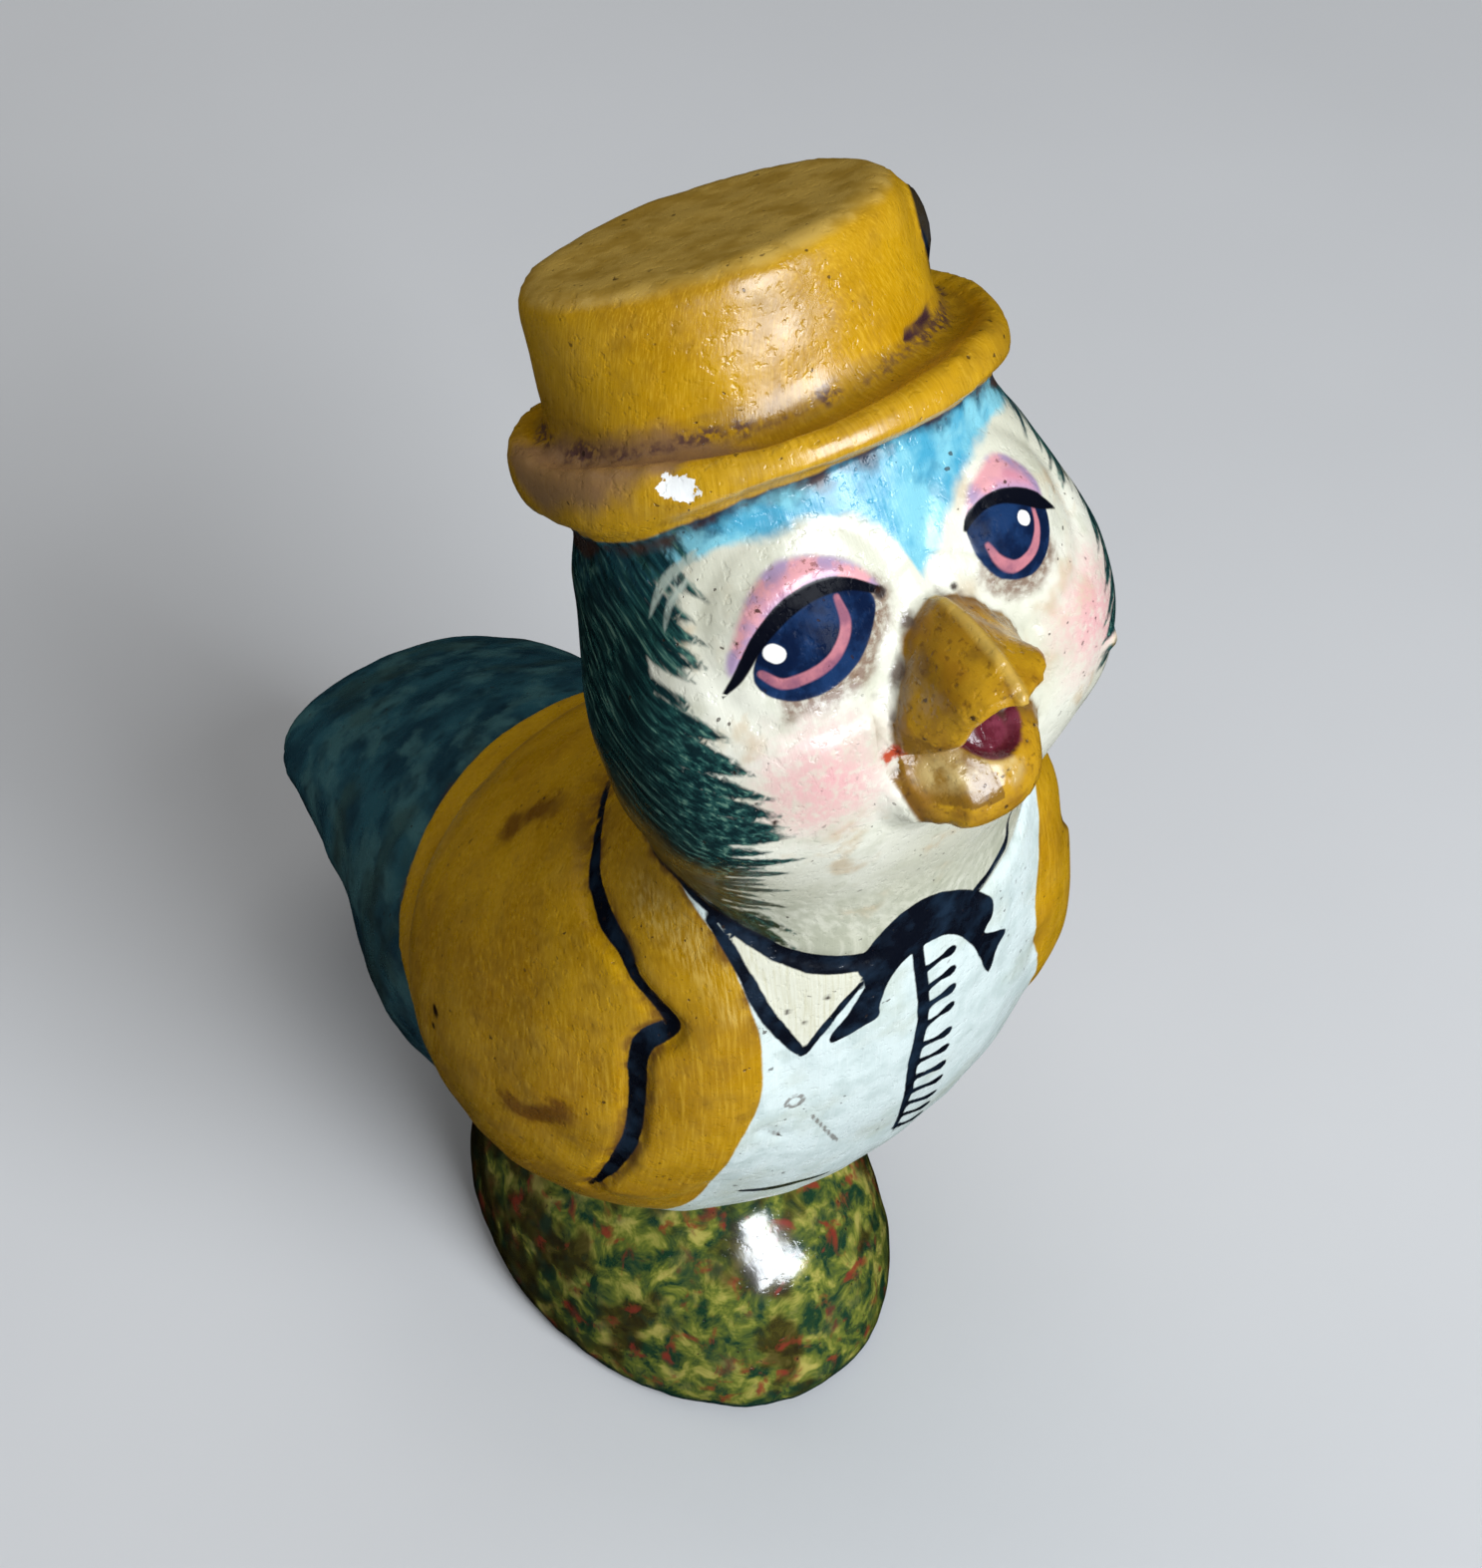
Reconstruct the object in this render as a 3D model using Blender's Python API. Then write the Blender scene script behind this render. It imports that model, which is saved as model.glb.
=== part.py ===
"""A dressed chick in painted chalkware, cast in one piece with its hat and its oval foot.

The figure faces -Y and its own left side is +X. The origin is the middle of the flat
underside. Heights, fronts and widths are real sizes; MM turns millimetres into metres.
"""
import math

import bpy
import bmesh
from mathutils import Matrix, Vector

MM = 0.001

# Plaster under oil paint
PAINT_COLOUR = (0.47, 0.24, 0.016, 1.0)
PAINT_ROUGHNESS = 0.38
PAINT_METALLIC = 0.0

# The foot: an oval dome with a thin upright rim
FOOT_HALF_WIDTH = 22.5 * MM
FOOT_HALF_LENGTH = 31.0 * MM
FOOT_RIM_HEIGHT = 2.2 * MM
FOOT_HEIGHT = 36.0 * MM
FOOT_NECK_SHARE = 0.56
FOOT_SHOULDER = 0.62

# Body, neck and head, as outlines across their own axis: height of the outline's widest place,
# how far back that lies, the outline's lean in degrees, its depth to the front and to the rear,
# its half-width, and how square its front is (2 is an ellipse)
MAIN_OUTLINES = (
    (30.0, 1.0, 0.0, 13.0, 13.0, 12.0, 2.0),
    (37.0, -2.0, 0.0, 19.0, 19.0, 20.0, 2.0),
    (47.0, -5.8, 0.0, 24.8, 24.8, 27.0, 2.0),
    (59.0, -9.2, 0.0, 28.2, 28.6, 31.8, 2.1),
    (73.0, -12.8, 0.0, 28.8, 29.8, 33.8, 2.1),
    (85.0, -16.5, 2.0, 26.5, 27.0, 30.9, 2.1),
    (96.0, -22.0, 6.0, 21.0, 21.5, 25.0, 2.1),
    (104.0, -27.5, 12.0, 15.2, 17.5, 19.6, 2.1),
    (111.5, -31.5, 19.0, 13.6, 18.0, 19.5, 2.2),
    (119.0, -32.8, 25.0, 13.6, 20.0, 22.6, 2.6),
    (128.0, -28.6, 28.0, 15.4, 20.6, 23.2, 2.6),
    (134.0, -24.6, 28.0, 15.6, 18.6, 21.2, 2.4),
    (139.0, -21.0, 28.0, 15.2, 17.0, 19.5, 2.2),
    (144.0, -18.5, 28.0, 13.2, 13.2, 15.8, 2.0),
)
REAR_SQUARENESS = 2.0

# The jacket's two lapels, raised over the body: height in millimetres, and the turns from the
# front to the lapel's outer line and to its edge beside the shirt
LAPELS = (
    (64.0, 0.158, 0.118),
    (69.0, 0.146, 0.094),
    (76.0, 0.139, 0.082),
    (84.0, 0.145, 0.081),
    (89.0, 0.157, 0.089),
    (92.0, 0.149, 0.097),
    (95.0, 0.166, 0.106),
    (100.0, 0.235, 0.135),
    (105.0, 0.300, 0.180),
)
LAPEL_RELIEF = 1.2 * MM
LAPEL_RIM_SHARE = 0.45
LAPEL_END_SHARE = 0.06
LAPEL_END_POWER = 0.4
LAPEL_SINK = 2.0 * MM
SHIRT_SHIFT = 0.006
NORMAL_TURN = 0.01
NORMAL_RISE = 1.0

# The beak: distance in front of the middle, top, bottom and half-width, in millimetres. The two
# halves touch at the corners of the mouth and gape at the tip.
UPPER_BEAK = (
    (36.5, 138.6, 127.0, 6.2),
    (39.5, 140.6, 127.2, 6.8),
    (42.0, 140.5, 128.2, 7.0),
    (45.0, 140.0, 130.4, 6.2),
    (48.5, 139.2, 134.2, 4.3),
    (50.4, 138.2, 136.0, 2.4),
    (51.0, 137.4, 136.6, 0.8),
)
LOWER_BEAK = (
    (36.0, 131.0, 120.2, 6.6),
    (41.5, 131.4, 120.0, 8.0),
    (45.0, 130.4, 120.3, 7.8),
    (47.8, 129.0, 121.0, 6.2),
    (49.6, 127.4, 122.2, 4.2),
    (50.6, 126.0, 123.6, 1.6),
)
UPPER_BEAK_RIDGE = 1.5
UPPER_BEAK_BASE = 3.0
UPPER_BEAK_SPREAD = 0.25
LOWER_BEAK_KEEL = 2.0

# The eyes: low mounds for the ball and its heavy lid, let into the skin of the head
EYE_TURN = 0.072
EYE_BELOW_TOP = 9.9 * MM
EYE_SINK = 2.4 * MM
EYE_RADII = (6.9 * MM, 6.6 * MM, 3.4 * MM)

# Rump and tail: distance behind the middle, top, bottom and half-width, in millimetres
TAIL_OUTLINES = (
    (-8.0, 78.0, 34.0, 22.0),
    (8.0, 77.0, 23.0, 28.0),
    (22.0, 70.5, 21.0, 26.5),
    (34.0, 62.5, 25.0, 22.5),
    (46.0, 54.0, 30.0, 20.0),
    (57.0, 46.0, 32.0, 18.0),
    (64.0, 41.0, 31.0, 15.0),
    (68.0, 38.0, 31.0, 9.0),
    (69.5, 36.0, 33.0, 2.5),
)
TAIL_SQUARENESS = 2.0

# The hat: a straw boater pushed back, its axis leaning towards the tail, with a gutter between
# the crown's foot and the rolled brim. Distance below the top, radius, how deep the oval is from
# front to back as a share of its width, and the shift forward, in millimetres.
HAT_LEAN = math.radians(27.0)
HAT_BEHIND_HEAD = 9.9 * MM
HAT_ABOVE_HEAD = 12.2 * MM
CROWN_OUTLINES = (
    (0.0, 14.4, 0.84, 0.0),
    (0.3, 15.5, 0.84, 0.0),
    (0.9, 16.25, 0.84, 0.0),
    (2.0, 16.6, 0.84, 0.0),
    (7.0, 16.95, 0.84, 0.0),
    (11.9, 17.25, 0.84, 0.0),
)
BRIM_OUTLINES = (
    (12.8, 17.5, 0.86, 0.4),
    (13.1, 18.2, 0.89, 0.9),
    (12.6, 19.1, 0.92, 1.3),
    (11.9, 19.9, 0.93, 1.5),
    (12.1, 20.7, 0.93, 1.5),
    (13.2, 21.3, 0.93, 1.5),
    (15.2, 21.5, 0.93, 1.5),
    (17.2, 20.9, 0.93, 1.5),
    (18.3, 19.3, 0.93, 1.5),
    (18.6, 17.0, 0.93, 1.5),
)
HAT_OUTLINES = CROWN_OUTLINES + BRIM_OUTLINES

# The ribbon bow on the hat's left: two flat loops and a knot, held against the crown
BOW_DOWN = 5.6 * MM
BOW_ROUND = math.radians(-4.0)
BOW_SPREAD = math.radians(15.0)
BOW_SEAT_RADIUS = 16.6 * MM
BOW_LOOP_RADII = (1.9 * MM, 3.2 * MM, 3.6 * MM)
BOW_KNOT_RADII = (2.3 * MM, 1.7 * MM, 2.2 * MM)

MAIN_AROUND_SEGMENTS = 52
MAIN_ALONG_SEGMENTS = 36
TAIL_AROUND_SEGMENTS = 36
TAIL_ALONG_SEGMENTS = 16
FOOT_AROUND_SEGMENTS = 48
FOOT_ALONG_SEGMENTS = 9
HAT_AROUND_SEGMENTS = 52
BEAK_AROUND_SEGMENTS = 20
BEAK_ALONG_SEGMENTS = 9
MOUND_AROUND_SEGMENTS = 20
MOUND_ALONG_SEGMENTS = 12
LAPEL_ACROSS_SEGMENTS = 5
LAPEL_ALONG_SEGMENTS = 18
WELD = 0.00001
SHARP = math.radians(40.0)


def smooth_at(table, where):
    """The table's row at a place, on a smooth curve through its rows."""
    rows = len(table)
    upper = next((i for i in range(1, rows - 1) if table[i][0] > where), rows - 1)
    lower = upper - 1
    span = table[upper][0] - table[lower][0]
    share = (where - table[lower][0]) / span

    def slope(index, column):
        before = max(index - 1, 0)
        after = min(index + 1, rows - 1)
        return (table[after][column] - table[before][column]) / (table[after][0] - table[before][0])

    values = []
    for column in range(1, len(table[0])):
        start = table[lower][column]
        end = table[upper][column]
        rise = span * slope(lower, column)
        fall = span * slope(upper, column)
        values.append(
            (2 * share ** 3 - 3 * share ** 2 + 1) * start + (share ** 3 - 2 * share ** 2 + share) * rise
            + (3 * share ** 2 - 2 * share ** 3) * end + (share ** 3 - share ** 2) * fall
        )
    return values


def rounded(angle, squareness):
    """A point on a rounded square of half-width 1: a circle at squareness 2."""
    power = 2.0 / squareness
    across = math.copysign(abs(math.sin(angle)) ** power, math.sin(angle))
    along = math.copysign(abs(math.cos(angle)) ** power, math.cos(angle))
    return across, along


def main_point(turn, height):
    """A point on the body or head, on the outline whose widest place is at a height in millimetres.

    Turn 0 is the front, and 0.25 the figure's left.
    """
    back, lean, front_depth, rear_depth, half_width, squareness = smooth_at(MAIN_OUTLINES, height)
    angle = 2.0 * math.pi * turn
    at_front = math.cos(angle) > 0.0
    across, forward = rounded(angle, squareness if at_front else REAR_SQUARENESS)
    depth = front_depth if at_front else rear_depth
    level = Vector((half_width * across, -depth * forward, 0.0))
    tilt = Matrix.Rotation(math.radians(-lean), 3, "X")
    return (Vector((0.0, back, height)) + tilt @ level) * MM


def main_normal(turn, height):
    """The way out of the body at a point of its skin."""
    round_it = main_point(turn + NORMAL_TURN, height) - main_point(turn - NORMAL_TURN, height)
    up_it = main_point(turn, height + NORMAL_RISE) - main_point(turn, height - NORMAL_RISE)
    return round_it.cross(up_it).normalized()


def main_skin(turn, rise):
    lowest = MAIN_OUTLINES[0][0]
    highest = MAIN_OUTLINES[-1][0]
    return main_point(turn, lowest + (highest - lowest) * rise)


def tail_skin(turn, reach):
    nearest = TAIL_OUTLINES[0][0]
    farthest = TAIL_OUTLINES[-1][0]
    distance = nearest + (farthest - nearest) * math.sin(0.5 * math.pi * reach)
    top, bottom, half_width = smooth_at(TAIL_OUTLINES, distance)
    across, up = rounded(2.0 * math.pi * turn, TAIL_SQUARENESS)
    return Vector((half_width * across, distance, 0.5 * (top + bottom) + 0.5 * (top - bottom) * up)) * MM


def beak_skin(outlines, squareness_above, squareness_below, spread):
    """The skin of half a beak; spread makes it wider below than above."""
    def place(turn, reach):
        nearest = outlines[0][0]
        farthest = outlines[-1][0]
        forward = nearest + (farthest - nearest) * math.sin(0.5 * math.pi * reach)
        top, bottom, half_width = smooth_at(outlines, forward)
        angle = 2.0 * math.pi * turn
        across, up = rounded(angle, squareness_above if math.cos(angle) > 0.0 else squareness_below)
        width = half_width * across * (1.0 - spread * up)
        return Vector((width, -forward, 0.5 * (top + bottom) + 0.5 * (top - bottom) * up)) * MM
    return place


def foot_skin(turn, rise):
    """A rim, then a dome, then the neck under the body."""
    angle = 2.0 * math.pi * turn
    ring = round(rise * FOOT_ALONG_SEGMENTS)
    climb = max(ring - 1, 0) / (FOOT_ALONG_SEGMENTS - 1)
    height = FOOT_RIM_HEIGHT + (FOOT_HEIGHT - FOOT_RIM_HEIGHT) * climb if ring else 0.0
    dome = math.sqrt(1.0 - min(climb / FOOT_SHOULDER, 1.0) ** 2)
    share = FOOT_NECK_SHARE + (1.0 - FOOT_NECK_SHARE) * dome
    return Vector((FOOT_HALF_WIDTH * share * math.sin(angle), -FOOT_HALF_LENGTH * share * math.cos(angle), height))


def hat_frame():
    """The hat's frame: its own Z along the leaning axis, from the middle of the crown's top."""
    height, back = MAIN_OUTLINES[-1][:2]
    top = Vector((0.0, back * MM + HAT_BEHIND_HEAD, height * MM + HAT_ABOVE_HEAD))
    return Matrix.Translation(top) @ Matrix.Rotation(-HAT_LEAN, 4, "X")


def hat_skin(turn, reach):
    down, radius, depth_share, forward = HAT_OUTLINES[round(reach * (len(HAT_OUTLINES) - 1))]
    angle = 2.0 * math.pi * turn
    level = Vector((radius * math.sin(angle), -radius * depth_share * math.cos(angle) - forward, -down))
    return hat_frame() @ (level * MM)


def wrapped(name, place, around, along):
    """A closed skin: a grid wrapped round a form, with its two ends filled."""
    bm = bmesh.new()
    bmesh.ops.create_grid(bm, x_segments=around, y_segments=along, size=0.5)
    for vertex in bm.verts:
        vertex.co = place(vertex.co.x + 0.5, vertex.co.y + 0.5)
    bmesh.ops.remove_doubles(bm, verts=bm.verts, dist=WELD)
    bmesh.ops.holes_fill(bm, edges=[edge for edge in bm.edges if edge.is_boundary])
    bmesh.ops.recalc_face_normals(bm, faces=bm.faces)
    return finished(name, bm)


def finished(name, bm):
    mesh = bpy.data.meshes.new(name)
    bm.to_mesh(mesh)
    bm.free()
    mesh.shade_smooth()
    mesh.set_sharp_from_angle(angle=SHARP)
    figure_part = bpy.data.objects.new(name, mesh)
    bpy.context.collection.objects.link(figure_part)
    return figure_part


def lapel(name, side):
    """A raised lapel: a patch of the body's skin lifted a little, with its root inside the body."""
    lowest = LAPELS[0][0]
    highest = LAPELS[-1][0]

    def place(across, rise, lift):
        height = lowest + (highest - lowest) * rise
        line, edge = smooth_at(LAPELS, height)
        turn = side * (line + (edge - line) * across) + SHIRT_SHIFT
        return main_point(turn, height) + main_normal(turn, height) * lift

    bm = bmesh.new()
    bmesh.ops.create_grid(bm, x_segments=LAPEL_ACROSS_SEGMENTS, y_segments=LAPEL_ALONG_SEGMENTS, size=0.5)
    shares = {vertex: (vertex.co.x + 0.5, vertex.co.y + 0.5) for vertex in bm.verts}
    for vertex, (across, rise) in shares.items():
        ends = math.sin(math.pi * min(max(rise, LAPEL_END_SHARE), 1.0 - LAPEL_END_SHARE))
        puff = LAPEL_RIM_SHARE + (1.0 - LAPEL_RIM_SHARE) * math.sin(math.pi * across)
        vertex.co = place(across, rise, LAPEL_RELIEF * puff * ends ** LAPEL_END_POWER)
    under = bmesh.ops.extrude_face_region(bm, geom=list(bm.faces), use_keep_orig=True)["geom"]
    for vertex in [item for item in under if isinstance(item, bmesh.types.BMVert)]:
        nearest = min(shares, key=lambda outer: (outer.co - vertex.co).length)
        across, rise = shares[nearest]
        vertex.co = place(across, rise, -LAPEL_SINK)
    bmesh.ops.recalc_face_normals(bm, faces=bm.faces)
    return finished(name, bm)


def mound(name, radii, place):
    """A low rounded mound."""
    bm = bmesh.new()
    bmesh.ops.create_uvsphere(bm, u_segments=MOUND_AROUND_SEGMENTS, v_segments=MOUND_ALONG_SEGMENTS, radius=1.0)
    bmesh.ops.transform(bm, matrix=place @ Matrix.Diagonal((*radii, 1.0)), verts=bm.verts)
    return finished(name, bm)


def eye(name, side):
    """An eye mound square to the skin, with its width level."""
    turn = side * EYE_TURN
    height = MAIN_OUTLINES[-1][0] - EYE_BELOW_TOP / MM
    out = main_normal(turn, height)
    middle = main_point(turn, height) - out * EYE_SINK
    level = Vector((0.0, 0.0, 1.0)).cross(out).normalized()
    square = Matrix((level, out.cross(level), out)).transposed().to_4x4()
    return mound(name, EYE_RADII, Matrix.Translation(middle) @ square)


def bow():
    """The bow's loops lie before and behind its knot on the crown's left side."""
    oval = Matrix.Diagonal((1.0, CROWN_OUTLINES[0][2], 1.0, 1.0))
    seat = hat_frame() @ Matrix.Translation((0.0, 0.0, -BOW_DOWN)) @ oval
    forms = []
    for name, angle, radii in (
        ("bow front loop", BOW_ROUND - BOW_SPREAD, BOW_LOOP_RADII),
        ("bow knot", BOW_ROUND, BOW_KNOT_RADII),
        ("bow rear loop", BOW_ROUND + BOW_SPREAD, BOW_LOOP_RADII),
    ):
        beside = Matrix.Rotation(angle, 4, "Z") @ Matrix.Translation((BOW_SEAT_RADIUS, 0.0, 0.0))
        forms.append(mound(name, radii, seat @ beside))
    return forms


def joined(base, others):
    """Casts the forms as one body."""
    for other in others:
        union = base.modifiers.new("cast with " + other.name, "BOOLEAN")
        union.operation = "UNION"
        union.solver = "EXACT"
        union.object = other
        other.hide_render = True
        other.display_type = "WIRE"


def paint():
    material = bpy.data.materials.new("painted chalkware")
    material.use_nodes = True
    shader = material.node_tree.nodes["Principled BSDF"]
    shader.inputs["Base Color"].default_value = PAINT_COLOUR
    shader.inputs["Roughness"].default_value = PAINT_ROUGHNESS
    shader.inputs["Metallic"].default_value = PAINT_METALLIC
    return material


def main():
    for old in list(bpy.data.objects):
        bpy.data.objects.remove(old)
    figure = wrapped("chick_figurine", main_skin, MAIN_AROUND_SEGMENTS, MAIN_ALONG_SEGMENTS)
    upper_beak = beak_skin(UPPER_BEAK, UPPER_BEAK_RIDGE, UPPER_BEAK_BASE, UPPER_BEAK_SPREAD)
    lower_beak = beak_skin(LOWER_BEAK, LOWER_BEAK_KEEL, LOWER_BEAK_KEEL, 0.0)
    joined(figure, [
        wrapped("rump and tail", tail_skin, TAIL_AROUND_SEGMENTS, TAIL_ALONG_SEGMENTS),
        wrapped("foot", foot_skin, FOOT_AROUND_SEGMENTS, FOOT_ALONG_SEGMENTS),
        wrapped("hat", hat_skin, HAT_AROUND_SEGMENTS, len(HAT_OUTLINES) - 1),
        lapel("right lapel", -1.0),
        lapel("left lapel", 1.0),
        eye("right eye", -1.0),
        eye("left eye", 1.0),
        wrapped("upper beak", upper_beak, BEAK_AROUND_SEGMENTS, BEAK_ALONG_SEGMENTS),
        wrapped("lower beak", lower_beak, BEAK_AROUND_SEGMENTS, BEAK_ALONG_SEGMENTS),
        *bow(),
    ])
    figure.data.materials.append(paint())


main()
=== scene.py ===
"""Looks of the chick figurine: a chalkware cast, painted by hand in oils and varnished."""

import math

import bmesh
import bpy
import numpy as np
from mathutils import Matrix, Vector


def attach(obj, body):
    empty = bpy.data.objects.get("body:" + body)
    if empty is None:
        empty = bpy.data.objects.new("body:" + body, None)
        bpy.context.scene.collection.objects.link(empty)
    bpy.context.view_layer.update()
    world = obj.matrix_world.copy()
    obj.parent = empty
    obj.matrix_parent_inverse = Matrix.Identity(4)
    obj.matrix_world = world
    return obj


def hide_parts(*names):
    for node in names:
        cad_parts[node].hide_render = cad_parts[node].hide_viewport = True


bl_info = {
    "name": "Painted chalkware chick",
    "version": (1, 0, 0),
    "blender": (4, 5, 0),
    "location": "3D View > Sidebar > Figurine",
    "description": "Casts, paints and lights a small chalkware chick in a boater",
    "category": "Object",
}

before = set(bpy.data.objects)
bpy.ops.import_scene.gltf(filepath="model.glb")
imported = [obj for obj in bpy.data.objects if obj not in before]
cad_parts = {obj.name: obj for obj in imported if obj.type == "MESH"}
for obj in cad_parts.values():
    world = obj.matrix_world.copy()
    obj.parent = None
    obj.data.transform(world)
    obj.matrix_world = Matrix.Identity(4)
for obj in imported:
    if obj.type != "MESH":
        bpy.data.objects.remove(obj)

NODE = "chick_figurine"
PIECE = "chick_cast"
MM = 0.001

# The paint lines are drawn on a chart wrapped round the upright body: millimetres round the body
# at CHART_RADIUS, and millimetres up. Its centre line leans back with the figure (height, centre).
CHART_RADIUS = 28
CHART_SPINE = ((30, 0), (47, -6), (73, -13), (96, -20), (110, -26), (160, -26))

# Edges of the painted areas on the chart. Across is measured from the middle of the chest.
SHIRT_EDGE = ((30, 32), (38, 30), (46, 26), (54, 22), (62, 19.3), (70, 18.5), (77, 17.8), (84, 17.1),
              (89, 17.5), (95, 19.3), (100, 22.6), (104, 26.8), (108, 33.6), (112, 40))
NECKLINE = ((0, 100), (7.3, 100.1), (12, 101), (17, 102.2), (24.6, 105.2), (30.4, 107.8), (36, 109.6),
            (44, 107.4), (52, 103.5), (60, 101), (88, 100))
FEATHER_EDGE = ((96, 18), (102, 20), (106, 23.5), (111, 27), (118, 25), (125, 24.4), (129, 26.6),
                (132, 30), (135, 33), (139, 37.2), (142, 39.6), (145, 42), (150, 46))
SKY_EDGE = ((-60, 134), (-48.4, 137.4), (-43.2, 140.8), (-39, 143.9), (-36, 145), (-32, 145.9),
            (-24.3, 146.9), (-14.3, 146.7), (-5.9, 145.1), (-1.6, 142.8), (.3, 140.6), (3.8, 141.8),
            (9.4, 143.7), (15.2, 144.9), (24.5, 146), (33.3, 145.7), (39.8, 144.2), (48.4, 137.4), (60, 134))
# Brush flicks run along the feathers' edge between two heights.
FLICK_BOTTOM = 99.5
FLICK_TOP = 147
FLICK_SEED = 5
# The jacket's hem behind: its place in the middle, and how it curves forward at the sides and low down.
HEM_BEHIND = 24.5
HEM_ROUNDING = 0.0145
HEM_CORNER_HEIGHT = 60
HEM_CORNER_SLOPE = 0.9
FOOT_TOP = 32.0
FOOT_REAR = 32

# Brush lines on the chart: (across, up, half the width of the line). The lapels' is drawn on both sides.
LAPEL_LINE = ((66, 97.6, .2), (60, 98.3, .3), (50.6, 99.5, .4), (43.5, 99.3, .7), (39.4, 99.1, .8),
              (36, 98.7, .75), (32.6, 96.9, .5), (29.2, 95.1, .6), (27.2, 93.4, .9), (28.9, 91, 1.1),
              (28.9, 88.6, 1), (27.7, 83.7, .9), (26.7, 77.4, .8), (27, 71.9, .8), (27.9, 66.4, .5),
              (29, 61, .2))
NECK_LINE = ((-42, 108.2, .3), (-36, 109.6, .5), (-30.4, 107.6, .55), (-24.6, 105, .65), (-18.8, 102.5, .8),
             (-14.9, 101.2, 1), (-10.5, 100.4, 1), (-7.3, 100.1, .9))
FAR_NECK_LINE = ((6.6, 100.6, .6), (8.8, 101.4, .8), (13.1, 102.6, .6), (15.2, 104.2, .3), (16.6, 107, .2),
                 (24, 109.2, .35), (36, 109.6, .3))
COLLAR_LINE = ((-29.9, 106.5, .35), (-24.3, 102.4, .45), (-19.6, 97.3, .55), (-15.9, 92.3, .65),
               (-13.8, 89.6, .4))
COLLAR_RETURN = ((-13.6, 89.8, .4), (-12.6, 92, .4), (-10.6, 95.2, .4), (-8.7, 97.5, .35))
COLLAR = ((-28.5, 106.4), (-24.3, 102.8), (-19.6, 97.3), (-15.9, 92.3), (-13.8, 89.8), (-12.6, 92),
          (-10.6, 95.2), (-8.7, 97.8), (-10, 100), (-14.9, 101), (-18.8, 102.5), (-24.6, 105))
BELLY_LINE = ((-15.4, 62.7, .3), (-12, 61.2, .6), (-9, 60.2, .6), (-6, 59.6, .3))
TIE = ((-9.8, 100.2), (-5.8, 103.9), (-1.3, 105), (2.9, 104.1), (7, 101.9), (9.8, 98.8), (9.8, 95.9),
       (8.3, 94.5), (11.6, 92), (10.2, 90.4), (9.1, 86.9), (7, 92.4), (4.8, 96.5), (1.8, 98.7), (-1.8, 98.8),
       (-4.7, 97.1), (-6.1, 93.7), (-6.2, 91.9), (-8.2, 91.2), (-10.9, 90.2), (-11.3, 91.4), (-9.4, 94.4),
       (-8.3, 97.4))
PLACKET = ((-1.8, 99, .6), (-.8, 93.5, .7), (-.2, 87.9, .7), (-.5, 81.4, .65), (-.1, 73.2, .5),
           (.8, 63, .25))
TEMPLE_STROKES = (((-38.3, 144.6, .3), (-40.3, 142.3, .45), (-40.2, 139.5, .1)),
                  ((-37.6, 142.9, .2), (-38.3, 141.2, .3), (-37.6, 139.4, .1)))
BUTTONHOLE_TOP = 95.2
BUTTONHOLE_STEP = 3.05
BUTTONHOLES = 11
BUTTONHOLE_LENGTH = 3.3
BUTTONHOLE_SLANTS = (0.5, 0.6, -0.9, -1.2, -1.9, -2)

# Each eye is drawn on a flat patch that looks towards "facing" from "centre": (outwards to +X, up) in
# mm, and half the width of a line as well.
# Each eye's brown dirt and painted shade lie towards "shadow" on its patch.
EYES = (
    {"centre": (-10.7, -38.1, 141.2),
     "facing": (-.28, -.74, .61),
     "shadow": (.85, -.7),
     "lid": ((.6, 5.6), (-3.1, 4.4), (-5.6, .6), (-6.3, -2.9), (-3.6, 0), (-1.4, 1.8), (1.2, 2.8), (3.7, 2.7),
             (6.2, 1.8), (4.8, 4)),
     "iris": ((-4.6, -3.6), (-3.4, .2), (-1.2, 2.1), (1.3, 3), (3.9, 2.9), (5.6, 1.6), (5.6, -.2),
              (3.9, -3.2), (1, -5.2), (-2.2, -5.5)),
     "lash": ((-7.3, -4.7, .1), (-5.6, -2.9, .45), (-3.8, -.2, .65), (-1.4, 1.9, .75), (1.2, 2.9, .7),
              (3.7, 2.8, .55), (6.3, 1.7, .3)),
     "crescent": ((2.6, 2, .25), (3, 0, .45), (2.4, -1.6, .5), (1.1, -3, .5), (-.7, -3.8, .5),
                  (-2.5, -4, .45), (-4, -3, .3)),
     "glint": ((-3, -1.4, .72), (-2.7, -1.6, .72))},
    {"centre": (9.5, -38.0, 140.8),
     "facing": (.28, -.74, .61),
     "shadow": (-.2, -.7),
     "lid": ((2.4, 5.6), (-.8, 5.3), (-2.8, 4.1), (-3.4, 3), (-1.3, 3.1), (.2, 2.7), (1.8, 1.5), (3.6, -.2),
             (4.3, .8), (4.1, 3.4)),
     "iris": ((-4.1, 2), (-3.3, 3.1), (-1.3, 3.3), (.4, 2.8), (2.2, 1.6), (3.7, 0), (3.7, -1.4),
              (1.8, -3.5), (-.7, -4.2), (-3.2, -2.7), (-4.3, 0)),
     "lash": ((-3.9, 2.6, .2), (-2.9, 3.2, .45), (-1.3, 3.3, .5), (.2, 2.8, .6), (1.8, 1.6, .7),
              (3.5, -.1, .6), (5.4, -1.9, .1)),
     "crescent": ((2.4, .2, .2), (1.9, -.9, .35), (.9, -2, .45), (-.5, -2.6, .5), (-2.1, -2.4, .5),
                  (-3.1, -1, .4), (-3.3, .6, .2)),
     "glint": ((.7, .3, .6), (.9, .1, .6))},
)
EYE_REACH = 12
EYE_FINE_REACH = 8.5
LID_STEP = 0.4
LASH_GROOVE = 0.08
SOCKET_RADIUS = 8.6
SOCKET_DEPTH = 0.25
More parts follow.
